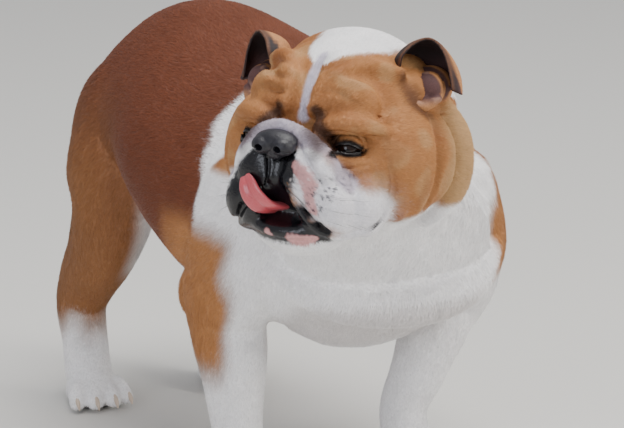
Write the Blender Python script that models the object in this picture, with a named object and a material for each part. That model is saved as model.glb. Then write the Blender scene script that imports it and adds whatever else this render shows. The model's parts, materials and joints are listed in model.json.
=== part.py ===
"""English bulldog, life size, standing square with its head turned to its right.

Metres, +Z up, nose end towards -Y, the dog's left side towards +X. The floor is z = 0.
The body is fused from named masses of muscle and skin, then parted with thin knives into
head, neck, torso, legs and paws. Ears, eyes, nose, tongue and tail are made on their own and
set into the flesh with a 0.3 mm gap.
"""

import math

import bmesh
import bpy
import numpy as np
from mathutils import Euler, Matrix, Vector

# Driving dimensions
CHEST_WIDTH = 0.320
BACK_HEIGHT = 0.405
HEAD_WIDTH = 0.196
EYE_RADIUS = 0.0105
EAR_LENGTH = 0.047
GAP = 0.0003

# Fineness of the solids
BODY_VOXEL = 0.0045
HEAD_VOXEL = 0.0024
BODY_TRIANGLES = 5600
HEAD_TRIANGLES = 4700
CLAW_SIDES = 6

# Where the head sits: turned to the dog's right
HEAD_CENTRE = Vector((-0.064, -0.286, 0.371))
HEAD_YAW = math.radians(-57)
HEAD_PITCH = math.radians(-1)
HEAD_ROLL = math.radians(0)
HEAD_PLACE = Matrix.Translation(HEAD_CENTRE) @ Euler((HEAD_PITCH, HEAD_ROLL, HEAD_YAW), "XYZ").to_matrix().to_4x4()

# Landmarks of the head in its own frame: x to its left, -y forwards, z up
EYE = Vector((0.0460, -0.0710, 0.000))
NOSE = Vector((0.0, -0.1185, 0.007))
EAR_ROOT = Vector((0.064, 0.006, 0.048))
EAR_DROOP = {1: Vector((0, 0, 0)), -1: Vector((-0.012, -0.010, -0.009))}


def clear_scene():
    for item in list(bpy.data.objects):
        bpy.data.objects.remove(item)


def link(name, mesh):
    item = bpy.data.objects.new(name, mesh)
    bpy.context.scene.collection.objects.link(item)
    return item


def mirrored(side, point):
    """A point given for the dog's left side (side = 1), or its twin on the right (side = -1)."""
    return Vector((side * point[0], point[1], point[2]))


def mesh_from(points, faces):
    mesh = bpy.data.meshes.new("mass")
    mesh.from_pydata([tuple(p) for p in points], [], faces)
    return mesh


def lump(centre, radii, turn=(0, 0, 0), place=Matrix()):
    """An ellipsoid of flesh. turn is in degrees about X, Y and Z."""
    mesh = bpy.data.meshes.new("lump")
    shape = bmesh.new()
    bmesh.ops.create_icosphere(shape, subdivisions=4, radius=1)
    spin = Euler([math.radians(a) for a in turn]).to_matrix().to_4x4()
    size = Matrix.Diagonal((*radii, 1))
    shape.transform(place @ Matrix.Translation(Vector(centre)) @ spin @ size)
    shape.to_mesh(mesh)
    shape.free()
    return mesh


def smooth_path(points, steps):
    """Points along a Catmull-Rom curve, steps to each span. Any number of coordinates."""
    p = np.array([points[0], *points, points[-1]], float)
    found = []
    for i in range(1, len(p) - 2):
        for t in np.linspace(0, 1, steps, endpoint=False):
            a, b, c, d = p[i - 1 : i + 3]
            found.append(
                0.5 * (2 * b + (c - a) * t + (2 * a - 5 * b + 4 * c - d) * t**2 + (3 * b - a - 3 * c + d) * t**3)
            )
    found.append(p[-2])
    return np.array(found)


def limb(knots, place=Matrix(), steps=5, sides=20, dome=(75, 50, 25), round_tube=False):
    """A tapering tube with domed ends. Each knot is (x, y, z, half width, half depth).

    The width of a limb keeps to the x axis. A round tube has no width to keep, so its rings follow the
    path without a twist.
    """
    path = smooth_path(knots, steps)
    centres, radii = path[:, :3], np.maximum(path[:, 3:5], 1e-4)
    rise = np.gradient(centres, axis=0)
    rings = []
    guide = Vector((0.3, 0.2, 1)) if round_tube else Vector((1, 0, 0))
    for centre, direction, (wide, deep) in zip(centres, rise, radii):
        along = Vector(direction).normalized()
        across = (guide - along * along.dot(guide)).normalized()
        if round_tube:
            guide = across
        fore = along.cross(across)
        rings.append((Vector(centre), across * wide, fore * deep, along))
    dome = [math.radians(a) for a in dome]
    first, last = rings[0], rings[-1]
    head = [
        (first[0] - first[3] * math.sin(a) * first[1].length, first[1] * math.cos(a), first[2] * math.cos(a))
        for a in dome
    ]
    foot = [
        (last[0] + last[3] * math.sin(a) * last[1].length, last[1] * math.cos(a), last[2] * math.cos(a))
        for a in reversed(dome)
    ]
    points = []
    for centre, across, fore in [*head, *[r[:3] for r in rings], *foot]:
        for k in range(sides):
            a = 2 * math.pi * k / sides
            points.append(centre + across * math.cos(a) + fore * math.sin(a))
    count = len(points) // sides
    faces = [
        (r * sides + k, r * sides + (k + 1) % sides, (r + 1) * sides + (k + 1) % sides, (r + 1) * sides + k)
        for r in range(count - 1)
        for k in range(sides)
    ]
    faces.append(tuple(reversed(range(sides))))
    faces.append(tuple((count - 1) * sides + k for k in range(sides)))
    mesh = mesh_from(points, faces)
    mesh.transform(place)
    return outward(mesh)


def fold(knots, place=Matrix(), steps=6):
    """A roll of skin: a thin round tube. Each knot is (x, y, z, radius)."""
    return limb([(*k[:3], k[3], k[3]) for k in knots], place, steps, 12, round_tube=True)


def outward(mesh):
    shape = bmesh.new()
    shape.from_mesh(mesh)
    bmesh.ops.recalc_face_normals(shape, faces=shape.faces)
    shape.to_mesh(mesh)
    shape.free()
    return mesh


def torso_mass():
    """Barrel of the body, lofted through sections: (y, half width, lowest z, highest z, narrowing of the top)."""
    half = CHEST_WIDTH / 2
    top = BACK_HEIGHT
    sections = (
        (-0.262, half * 0.30, 0.215, 0.270, 0.10),
        (-0.250, half * 0.52, 0.190, 0.300, 0.10),
        (-0.220, half * 0.72, 0.168, 0.335, 0.12),
        (-0.170, half * 0.82, 0.156, top - 0.045, 0.16),
        (-0.110, half * 0.87, 0.156, top - 0.030, 0.20),
        (-0.040, half * 0.90, 0.178, top - 0.026, 0.18),
        (0.030, half * 0.86, 0.202, top - 0.016, 0.18),
        (0.090, half * 0.77, 0.214, top - 0.004, 0.22),
        (0.140, half * 0.71, 0.222, top, 0.28),
        (0.190, half * 0.66, 0.232, top - 0.010, 0.32),
        (0.230, half * 0.56, 0.246, top - 0.032, 0.34),
        (0.256, half * 0.40, 0.262, top - 0.062, 0.30),
        (0.268, half * 0.18, 0.286, top - 0.092, 0.20),
    )
    sides, power = 40, 2 / 2.12
    points = []
    rows = smooth_path(sections, 4)
    for y, wide, low, high, narrowing in rows:
        middle, tall = (low + high) / 2, (high - low) / 2
        for k in range(sides):
            a = 2 * math.pi * k / sides
            c, s = math.cos(a), math.sin(a)
            x = wide * math.copysign(abs(c) ** power, c) * (1 - narrowing * s)
            points.append((x, y, middle + tall * math.copysign(abs(s) ** power, s)))
    count = len(rows)
    faces = [
        (r * sides + k, r * sides + (k + 1) % sides, (r + 1) * sides + (k + 1) % sides, (r + 1) * sides + k)
        for r in range(count - 1)
        for k in range(sides)
    ]
    faces.append(tuple(range(sides)))
    faces.append(tuple((count - 1) * sides + k for k in range(sides)))
    return outward(mesh_from(points, faces))


# Each leg: the middle of its paw on the floor, as the dog has placed it
FORE_PAWS = {1: Vector((0.070, -0.146, 0)), -1: Vector((-0.110, -0.172, 0))}
HIND_PAWS = {1: Vector((0.049, 0.224, 0)), -1: Vector((-0.098, 0.212, 0))}


def foreleg(side):
    """Shoulder blade and upper arm bulging from the chest, elbow, forearm and pastern."""
    paw = FORE_PAWS[side]
    x, y = side * paw.x, paw.y
    shoulder = lump(mirrored(side, (0.100, -0.146, 0.250)), (0.044, 0.070, 0.088), (12, side * -8, 0))
    upper = limb(
        [
            (side * 0.090, -0.182, 0.280, 0.044, 0.052),
            (side * 0.104, -0.176, 0.235, 0.044, 0.050),
            (side * 0.116, -0.150, 0.190, 0.038, 0.044),
            (side * 0.114, -0.140, 0.165, 0.034, 0.038),
        ]
    )
    lower = limb(
        [
            (side * 0.116, -0.140, 0.200, 0.036, 0.042),
            (side * (0.60 * 0.118 + 0.40 * x), 0.60 * -0.143 + 0.40 * y, 0.150, 0.0350, 0.0370),
            (side * (0.25 * 0.118 + 0.75 * x), 0.30 * -0.143 + 0.70 * (y + 0.008), 0.100, 0.0270, 0.0285),
            (side * x, y + 0.012, 0.062, 0.0235, 0.0240),
            (side * x, y + 0.006, 0.030, 0.0250, 0.0260),
        ]
    )
    elbow = lump(mirrored(side, (0.120, -0.112, 0.190)), (0.026, 0.026, 0.032))
    return [shoulder, upper, lower, elbow, *paw_masses(paw, 1.0)]


def hindleg(side):
    """Thigh, stifle, second thigh, hock and rear pastern."""
    paw = HIND_PAWS[side]
    x, y = side * paw.x, paw.y
    thigh = lump(mirrored(side, (0.078, 0.165, 0.268)), (0.046, 0.084, 0.088), (-14, side * -8, 0))
    upper = limb(
        [
            (side * 0.070, 0.190, 0.292, 0.044, 0.062),
            (side * 0.088, 0.165, 0.245, 0.046, 0.068),
            (side * 0.096, 0.158, 0.205, 0.039, 0.052),
            (side * (0.55 * 0.096 + 0.45 * x), 0.180, 0.165, 0.0335, 0.0420),
            (side * (0.35 * 0.096 + 0.65 * x), 0.70 * (y + 0.020) + 0.30 * 0.180, 0.125, 0.0285, 0.0335),
            (side * x, y + 0.020, 0.095, 0.0250, 0.0290),
            (side * x, y + 0.012, 0.060, 0.0235, 0.0245),
            (side * x, y + 0.004, 0.030, 0.0245, 0.0250),
        ]
    )
    hock = lump(mirrored(side, (x, y + 0.040, 0.108)), (0.014, 0.014, 0.024), (-12, 0, 0))
    buttock = lump(mirrored(side, (0.060, 0.224, 0.272)), (0.038, 0.044, 0.062), (-10, 0, 0))
    return [thigh, upper, hock, buttock, *paw_masses(paw, 0.90)]


TOES = (-1.5, -0.5, 0.5, 1.5)


def toe_frame(paw, size, slot):
    """Where a toe starts and ends: the outer pair is shorter and splayed."""
    splay = math.radians(13) * slot
    reach = (0.034 if abs(slot) < 1 else 0.028) * size
    start = paw + Vector((slot * 0.0125 * size, -0.004 * size, 0.016 * size))
    out = Vector((math.sin(splay), -math.cos(splay), 0))
    return start, out, reach


def paw_masses(paw, size):
    """A round, high-knuckled paw: one pad and four toes."""
    pad = lump(paw + Vector((0, -0.004, 0.018 * size)), (0.030 * size, 0.033 * size, 0.023 * size))
    heel = lump(paw + Vector((0, 0.018 * size, 0.010 * size)), (0.019 * size, 0.015 * size, 0.013 * size))
    masses = [pad, heel]
    for slot in TOES:
        start, out, reach = toe_frame(paw, size, slot)
        knuckle = start + out * reach * 0.45 + Vector((0, 0, 0.007 * size))
        tip = start + out * reach - Vector((0, 0, 0.004 * size))
        radius = 0.0108 * size
        masses.append(
            fold(
                [
                    (*start, radius),
                    (*knuckle, radius * 1.04),
                    (*(knuckle.lerp(tip, 0.6) + Vector((0, 0, 0.0015))), radius * 1.02),
                    (*tip, radius * 0.84),
                ],
                steps=4,
            )
        )
    return masses


def neck_masses():
    """Thick arched neck from the withers to the back of the skull, with the dewlap under it."""
    back = HEAD_PLACE @ Vector((0, 0.030, -0.004))
    throat = HEAD_PLACE @ Vector((0, 0.000, -0.062))
    crest = limb(
        [
            (-0.004, -0.110, 0.296, 0.102, 0.082),
            (-0.010, -0.165, 0.308, 0.102, 0.082),
            (-0.028, -0.222, 0.330, 0.096, 0.078),
            (*back, 0.086, 0.076),
        ]
    )
    apron = limb(
        [
            (0.008, -0.208, 0.224, 0.106, 0.054),
            (-0.008, -0.240, 0.262, 0.098, 0.052),
            (*throat, 0.072, 0.046),
        ]
    )
    return [crest, apron]


def chest_folds():
    """The loose skin that hangs as a broad apron across the brisket."""
    return [
        fold([(-0.100, -0.215, 0.236, 0.020), (-0.050, -0.252, 0.208, 0.023), (0.020, -0.262, 0.202, 0.025),
              (0.080, -0.240, 0.212, 0.024), (0.118, -0.198, 0.240, 0.020)]),
        fold([(-0.100, -0.205, 0.282, 0.018), (-0.060, -0.250, 0.258, 0.021), (0.020, -0.262, 0.250, 0.023),
              (0.078, -0.236, 0.260, 0.021), (0.104, -0.190, 0.282, 0.018)]),
    ]


def sheath_mass():
    return [limb([(0, 0.030, 0.204, 0.016, 0.015), (0, 0.075, 0.203, 0.014, 0.013), (0, 0.120, 0.216, 0.012, 0.012)])]


def skull_masses():
    """The head without its loose skin."""
    at = HEAD_PLACE
    half = HEAD_WIDTH / 2
    masses = [
        lump((0, 0.004, 0.014), (half * 0.82, 0.083, 0.068), place=at),
        lump((0, 0.018, 0.036), (half * 0.74, 0.050, 0.050), place=at),
        lump((0, -0.022, 0.026), (half * 0.70, 0.050, 0.046), place=at),
        lump((0, -0.078, -0.026), (0.054, 0.036, 0.038), place=at),
        lump((0, -0.040, -0.042), (0.070, 0.054, 0.044), place=at),
    ]
    for side in (1, -1):
        masses += [
            lump(mirrored(side, (0.060, -0.012, -0.020)), (0.040, 0.060, 0.056), (0, 0, side * 8), at),
            lump(mirrored(side, (0.056, 0.012, 0.036)), (0.024, 0.032, 0.024), place=at),
            lump(mirrored(side, (0.034, -0.054, 0.032)), (0.030, 0.022, 0.026), (28, 0, side * 14), at),
        ]
    return masses


# The turn of the head presses the right flew inwards
FLEW_SPREAD = {1: 1.0, -1: 0.87}


def flew_masses(side):
    """One hanging half of the upper lip, from beside the nose to the corner of the mouth."""
    at = HEAD_PLACE
    spread = side * FLEW_SPREAD[side]
    return [
        lump((spread * 0.027, -0.096, -0.024), (0.029, 0.024, 0.036), (8, 0, side * 14), at),
        lump((spread * 0.041, -0.088, -0.047), (0.024, 0.029, 0.034), (0, side * -12, side * 28), at),
        lump((spread * 0.060, -0.064, -0.048), (0.020, 0.032, 0.030), (24, 0, side * 12), at),
        fold(
            [
                (spread * 0.012, -0.112, -0.024, 0.009),
                (spread * 0.025, -0.111, -0.044, 0.010),
                (spread * 0.038, -0.103, -0.062, 0.011),
                (spread * 0.053, -0.086, -0.067, 0.011),
                (spread * 0.067, -0.060, -0.058, 0.011),
            ],
            at,
        ),
    ]


def jaw_masses():
    """The undershot lower jaw, which shows in front below the flews."""
    at = HEAD_PLACE
    return [
        lump((0.004, -0.080, -0.075), (0.043, 0.034, 0.023), (-6, 0, 0), at),
        fold([(-0.038, -0.078, -0.066, 0.008), (-0.024, -0.102, -0.069, 0.009), (0.004, -0.110, -0.071, 0.009),
              (0.030, -0.102, -0.069, 0.009), (0.044, -0.078, -0.066, 0.008)], at),
    ]


def face_folds():
    """Wrinkles: the roll over the nose, brows, cheek folds and the furrowed forehead."""
    at = HEAD_PLACE
    folds = [
        fold([(-0.052, -0.086, -0.030, 0.009), (-0.040, -0.096, -0.009, 0.009), (-0.026, -0.101, 0.009, 0.0088),
              (0, -0.1045, 0.0195, 0.0085), (0.026, -0.101, 0.009, 0.0088), (0.040, -0.096, -0.009, 0.009),
              (0.052, -0.086, -0.030, 0.009)], at),
    ]
    for side in (1, -1):
        for knots in (
            # brow over the inner half of the eye, up beside the furrow
            ((0.013, -0.074, 0.032, 0.010), (0.018, -0.064, 0.050, 0.011), (0.034, -0.042, 0.062, 0.010)),
            # upper lid and the heavy skin above it
            ((0.024, -0.082, 0.016, 0.009), (0.044, -0.076, 0.021, 0.011), (0.064, -0.062, 0.017, 0.010),
             (0.078, -0.040, 0.006, 0.008)),
            # bag under the eye, running down to the lip
            ((0.032, -0.084, -0.011, 0.009), (0.050, -0.077, -0.016, 0.011), (0.068, -0.060, -0.013, 0.010)),
            # cheek fold from the outer eye to the corner of the mouth
            ((0.074, -0.048, -0.004, 0.009), (0.077, -0.044, -0.028, 0.012), (0.074, -0.042, -0.056, 0.012)),
            # loose skin that hangs from below the ear, behind the cheek
            ((0.072, 0.030, 0.026, 0.012), (0.083, 0.040, 0.000, 0.016), (0.086, 0.043, -0.030, 0.017),
             (0.080, 0.038, -0.056, 0.015), (0.066, 0.028, -0.076, 0.011)),
            # forehead wrinkle towards the ear
            ((0.016, -0.046, 0.058, 0.009), (0.040, -0.034, 0.062, 0.010), (0.060, -0.016, 0.056, 0.009)),
        ):
            folds.append(fold([(side * k[0], *k[1:]) for k in knots], at))
    return folds


def lid_folds(side):
    """Upper and lower lid rims, drooping over the eyeball."""
    reach = EYE_RADIUS + 0.0012
    rims = []
    for tilt, radius in ((0.10, 0.0028), (-0.42, 0.0024)):
        knots = []
        for k in range(7):
            a = math.radians(-70 + 140 * k / 6)
            rise = tilt * math.cos(a) + 0.10 * math.sin(a) * -side
            spot = Vector((math.sin(a), -math.cos(a), rise)).normalized() * reach
            spot.x *= 1.25
            knots.append((*(mirrored(side, EYE) + spot), radius))
        rims.append(fold(knots, HEAD_PLACE))
    return rims


def fuse(name, masses, voxel, rounds):
    """Joins masses into one closed skin: a voxel remesh, then a little smoothing."""
    merged = bmesh.new()
    for mass in masses:
        merged.from_mesh(mass)
        bpy.data.meshes.remove(mass)
    mesh = bpy.data.meshes.new(name)
    merged.to_mesh(mesh)
    merged.free()
    item = link(name, mesh)
    remesh = item.modifiers.new("fuse", "REMESH")
    remesh.mode = "VOXEL"
    remesh.voxel_size = voxel
    ease = item.modifiers.new("ease", "SMOOTH")
    ease.factor = 0.5
    ease.iterations = rounds
    return apply_modifiers(item)


def apply_modifiers(item):
    graph = bpy.context.evaluated_depsgraph_get()
    mesh = bpy.data.meshes.new_from_object(item.evaluated_get(graph))
    old = item.data
    item.modifiers.clear()
    item.data = mesh
    bpy.data.meshes.remove(old)
    return item


def thin_out(item, triangles):
    """Fewer, larger triangles, so that the solid stays light."""
    item.data.calc_loop_triangles()
    step = item.modifiers.new("thin", "DECIMATE")
    step.ratio = min(1.0, triangles / len(item.data.loop_triangles))
    return apply_modifiers(item)


def carve(item, cutters, operation="DIFFERENCE", solver="EXACT"):
    """One Boolean with a collection of closed cutters, which are then removed."""
    group = bpy.data.collections.new("cutters")
    bpy.context.scene.collection.children.link(group)
    for cutter in cutters:
        group.objects.link(cutter)
    cut = item.modifiers.new("carve", "BOOLEAN")
    cut.operand_type = "COLLECTION"
    cut.collection = group
    cut.operation = operation
    cut.solver = solver
    apply_modifiers(item)
    for cutter in cutters:
        bpy.data.objects.remove(cutter)
    bpy.data.collections.remove(group)
    return item


def knife(centre, across, along, half_across, half_along):
    """A thin slab, GAP thick, spanned by two directions."""
    across = Vector(across).normalized()
    along = (Vector(along) - across * across.dot(Vector(along))).normalized()
    normal = across.cross(along)
    shape = bmesh.new()
    bmesh.ops.create_cube(shape, size=1)
    turn = Matrix((across, along, normal)).transposed().to_4x4()
    size = Matrix.Diagonal((2 * half_across, 2 * half_along, GAP, 1))
    shape.transform(Matrix.Translation(Vector(centre)) @ turn @ size)
    mesh = bpy.data.meshes.new("knife")
    shape.to_mesh(mesh)
    shape.free()
    return link("knife", outward(mesh))


def block(low, high):
    """A cutter box between two corners."""
    low, high = Vector(low), Vector(high)
    shape = bmesh.new()
    bmesh.ops.create_cube(shape, size=1)
    shape.transform(Matrix.Translation((low + high) / 2) @ Matrix.Diagonal((*(high - low), 1)))
    mesh = bpy.data.meshes.new("block")
    shape.to_mesh(mesh)
    shape.free()
    return link("block", mesh)


def loose_pieces(item):
    """The item's separate closed surfaces, largest first, each as its own object."""
    shape = bmesh.new()
    shape.from_mesh(item.data)
    shape.verts.ensure_lookup_table()
    seen, groups = set(), []
    for start in shape.verts:
        if start.index in seen:
            continue
        group, queue = [], [start]
        seen.add(start.index)
        while queue:
            vert = queue.pop()
            group.append(vert.index)
            for edge in vert.link_edges:
                other = edge.other_vert(vert)
                if other.index not in seen:
                    seen.add(other.index)
                    queue.append(other)
        groups.append(group)
    shape.free()
    groups.sort(key=len, reverse=True)
    found = []
    for group in groups:
        wanted = set(group)
        copy = bmesh.new()
        copy.from_mesh(item.data)
        copy.verts.ensure_lookup_table()
        spare = [v for v in copy.verts if v.index not in wanted]
        bmesh.ops.delete(copy, geom=spare, context="VERTS")
        mesh = bpy.data.meshes.new("piece")
        copy.to_mesh(mesh)
        copy.free()
        found.append(link("piece", mesh))
    bpy.data.objects.remove(item)
    return found


def keep_largest(item):
    name = item.name
    pieces = loose_pieces(item)
    for scrap in pieces[1:]:
        bpy.data.objects.remove(scrap)
    pieces[0].name = name
    return pieces[0]


def split_in_two(item):
    """The head's end and the body's end of a fused dog that a knife has parted."""
    pieces = loose_pieces(item)
    pieces.sort(key=lambda p: len(p.data.vertices), reverse=True)
    for scrap in pieces[2:]:
        bpy.data.objects.remove(scrap)
    return sorted(pieces[:2], key=lambda p: sum(v.co.y for v in p.data.vertices) / len(p.data.vertices))


def keep_part(item, inside):
    """Of the pieces that a cut leaves, the one whose middle lies nearest a point."""
    pieces = loose_pieces(item)
    big = [p for p in pieces if len(p.data.vertices) > 200]
    nearest = min(
        big, key=lambda p: ((sum((v.co for v in p.data.vertices), Vector()) / len(p.data.vertices)) - inside).length
    )
    for piece in pieces:
        if piece is not nearest:
            bpy.data.objects.remove(piece)
    return nearest


def grown(item, by):
    """A copy of the item, moved out by a gap along its normals, to cut its seat."""
    copy = link("grown", item.data.copy())
    for vert in copy.data.vertices:
        vert.co += vert.normal * by
    return copy


def head_knives():
    """Behind the skull, and forward under the jaw, so that the head comes off the neck."""
    at = HEAD_PLACE
    turn = at.to_3x3()
    return [
        knife(at @ Vector((0, 0.052, 0.030)), turn @ Vector((1, 0, 0)), turn @ Vector((0, 0.10, 1)), 0.20, 0.135),
        knife(at @ Vector((0, -0.040, -0.0935)), turn @ Vector((1, 0, 0)), turn @ Vector((0, 1, -0.06)), 0.20, 0.092),
    ]


def neck_knife():
    """From the withers forward and down to the brisket."""
    return knife((-0.004, -0.182, 0.290), (1, 0, 0), (0, -0.115, -0.200), 0.30, 0.200)


HIND_CUT = Vector((0, 0.175, 0.238))
HIND_SLOPE = Vector((0, 0.200, 0.122))


def body_knives():
    """Each leg from the torso, and each paw from its leg."""
    knives = []
    for side in (1, -1):
        knives.append(
            knife(mirrored(side, (0.118, -0.140, 0.174)), (side * 0.100, 0, 0.052), (0, 1, 0), 0.100, 0.105)
        )
        knives.append(
            knife(mirrored(side, (0.088, HIND_CUT.y, HIND_CUT.z)), (1, 0, 0), HIND_SLOPE, 0.089, 0.150)
        )
        for paw in (FORE_PAWS[side], HIND_PAWS[side]):
            knives.append(knife(paw + Vector((0, 0.008, 0.050)), (1, 0, 0), (0, 1, 0), 0.045, 0.060))
    down = Vector((0, HIND_SLOPE.z, -HIND_SLOPE.y)).normalized()
    knives.append(knife(HIND_CUT + down * 0.070, HIND_SLOPE, down, 0.150, 0.0702))
    return knives


def part_body(body):
    """Cuts the fused body and names what falls apart."""
    carve(body, body_knives())
    names = {}
    for piece in loose_pieces(body):
        middle = sum((v.co for v in piece.data.vertices), Vector()) / len(piece.data.vertices)
        side = "left" if middle.x > 0 else "right"
        end = "fore" if middle.y < 0 else "hind"
        if middle.z < 0.045:
            name = f"{end}paw_{side}"
        elif middle.z < 0.215:
            name = f"{end}leg_{side}"
        else:
            name = "torso"
        if name in names:
            bpy.data.objects.remove(piece)
            continue
        piece.name = name
        names[name] = piece
    return names


def claw(tip, out, size):
    """One blunt claw, rooted in the toe and pointing at the floor in front of it."""
    root = tip - out * 0.007 * size
    return limb(
        [
            (*root, 0.0032 * size, 0.0036 * size),
            (*(tip + out * 0.004 * size + Vector((0, 0, -0.001))), 0.0028 * size, 0.0034 * size),
            (*(tip + out * 0.0068 * size + Vector((0, 0, -0.0052 * size))), 0.0014 * size, 0.0017 * size),
        ],
        steps=1,
        sides=CLAW_SIDES,
        dome=(50,),
    )


def add_claws(piece, paw, size):
    claws = []
    for slot in TOES:
        start, out, reach = toe_frame(paw, size, slot)
        tip = start + out * (reach + 0.004 * size) - Vector((0, 0, 0.001 * size))
        claws.append(link("claw", claw(tip, out, size)))
    return carve(piece, claws, "UNION")


def eye_ball(side):
    mesh = bpy.data.meshes.new("eye")
    shape = bmesh.new()
    bmesh.ops.create_uvsphere(shape, u_segments=14, v_segments=8, radius=EYE_RADIUS)
    shape.transform(HEAD_PLACE @ Matrix.Translation(mirrored(side, EYE)) @ Matrix.Rotation(math.pi / 2, 4, "X"))
    shape.to_mesh(mesh)
    shape.free()
    return link("eye_left" if side > 0 else "eye_right", mesh)


def nose_pad():
    """The broad nose leather with its two nostrils and the groove between them."""
    at = HEAD_PLACE @ Matrix.Translation(NOSE)
    pad = fuse(
        "nose",
        [
            lump((0, 0.004, 0.001), (0.0205, 0.0120, 0.0100), (14, 0, 0)),
            lump((0.0096, 0.000, -0.002), (0.0108, 0.0110, 0.0086)),
            lump((-0.0096, 0.000, -0.002), (0.0108, 0.0110, 0.0086)),
            lump((0, 0.004, -0.009), (0.0080, 0.0080, 0.0060)),
        ],
        0.0013,
        4,
    )
    thin_out(pad, 460)
    nostrils = []
    for side in (1, -1):
        hole = limb(
            [
                (side * 0.0078, -0.0150, -0.0032, 0.0040, 0.0032),
                (side * 0.0094, -0.0090, -0.0032, 0.0036, 0.0030),
                (side * 0.0090, -0.0030, -0.0020, 0.0020, 0.0020),
            ],
            steps=1,
            sides=8,
            dome=(50,),
        )
        slit = limb(
            [
                (side * 0.0115, -0.0120, -0.0045, 0.0022, 0.0016),
                (side * 0.0155, -0.0085, -0.0058, 0.0018, 0.0014),
                (side * 0.0190, -0.0030, -0.0064, 0.0010, 0.0010),
            ],
            steps=1,
            sides=6,
            dome=(50,),
        )
        nostrils += [link("nostril", hole), link("slit", slit)]
    carve(pad, nostrils)
    pad.data.transform(at)
    return keep_largest(pad)


# The ear is a hood: its rim from the foot on the skull, over the top and down to the tip, and the line
# behind it where the hood meets the skull. Both run outwards, backwards and up from the root of the left
# ear, in shares of its length.
EAR_RIM = (
    (-0.15, -0.21, 0.26),
    (-0.09, -0.23, 0.49),
    (0.06, -0.09, 0.70),
    (0.28, 0.04, 0.80),
    (0.47, 0.13, 0.66),
    (0.60, 0.17, 0.34),
    (0.68, 0.21, -0.13),
)
EAR_BACK = (
    (-0.26, 0.09, -0.04),
    (-0.19, 0.26, 0.13),
    (-0.11, 0.55, 0.19),
    (0.06, 0.72, 0.04),
    (0.26, 0.68, -0.11),
    (0.47, 0.51, -0.15),
    (0.64, 0.30, -0.16),
)
# Ridges in the cup of the ear: places as above, and a radius in metres
EAR_RIDGES = (
    ((-0.17, -0.21, -0.09, 0.0030), (0.04, -0.30, -0.32, 0.0048), (0.30, -0.17, -0.43, 0.0052), (0.51, 0.04, -0.30, 0.0034)),
    ((0.04, -0.17, -0.26, 0.0034), (0.11, -0.04, -0.04, 0.0036), (0.21, 0.13, 0.09, 0.0030)),
    ((0.28, -0.06, -0.30, 0.0034), (0.38, 0.09, -0.13, 0.0036), (0.40, 0.26, 0.00, 0.0030)),
)
EAR_BULGE = 0.010
EAR_THICK = 0.0034
EAR_ACROSS = 9


def ear_masses(side, thick):
    """The hood of a small rose ear, folded over at the top, and the ridges in its cup."""
    root = mirrored(side, EAR_ROOT) + EAR_DROOP[side]

    def at(share):
        return root + mirrored(side, Vector(share[:3]) * EAR_LENGTH)

    rim = smooth_path([tuple(at(k)) for k in EAR_RIM], 4)
    back = smooth_path([tuple(at(k)) for k in EAR_BACK], 4)
    heart = np.array(at((0.30, 0.10, 0.05)))
    middle = 0.45 * rim + 0.55 * back
    away = middle - heart
    away /= np.linalg.norm(away, axis=1)[:, None]
    bend = middle + away * EAR_BULGE * 2
    s = np.linspace(0, 1, EAR_ACROSS)[None, :, None]
    sheet = (1 - s) ** 2 * rim[:, None] + 2 * s * (1 - s) * bend[:, None] + s**2 * back[:, None]
    normal = np.cross(np.gradient(sheet, axis=0), np.gradient(sheet, axis=1))
    normal /= np.linalg.norm(normal, axis=2)[:, :, None] + 1e-12
    rows = len(sheet)
    total = rows * EAR_ACROSS
    points = np.concatenate([(sheet + normal * thick / 2).reshape(-1, 3), (sheet - normal * thick / 2).reshape(-1, 3)])

    def index(r, k):
        return r * EAR_ACROSS + k

    faces = []
    for r in range(rows - 1):
        for k in range(EAR_ACROSS - 1):
            a, b, c, d = index(r, k), index(r, k + 1), index(r + 1, k + 1), index(r + 1, k)
            faces += [(a, b, c), (a, c, d), (c + total, b + total, a + total), (d + total, c + total, a + total)]
        for k in (0, EAR_ACROSS - 1):
            a, b = index(r, k), index(r + 1, k)
            faces.append((a, b, b + total, a + total))
    for k in range(EAR_ACROSS - 1):
        for r in (0, rows - 1):
            a, b = index(r, k), index(r, k + 1)
            faces.append((a, b, b + total, a + total))
    hood = outward(mesh_from(points.tolist(), faces))
    masses = [
        hood,
        lump(at((0.14, 0.42, -0.16)), (0.020, 0.015, 0.018)),
        lump(at((0.22, 0.16, -0.16)), (0.015, 0.012, 0.015)),
    ]
    for ridge in EAR_RIDGES:
        masses.append(fold([(*at(k), k[3]) for k in ridge]))
    for mass in masses:
        mass.transform(HEAD_PLACE)
    return masses


def ear_piece(side):
    ear = fuse("ear_left" if side > 0 else "ear_right", ear_masses(side, EAR_THICK), 0.0014, 2)
    return keep_largest(thin_out(ear, 560))


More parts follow.
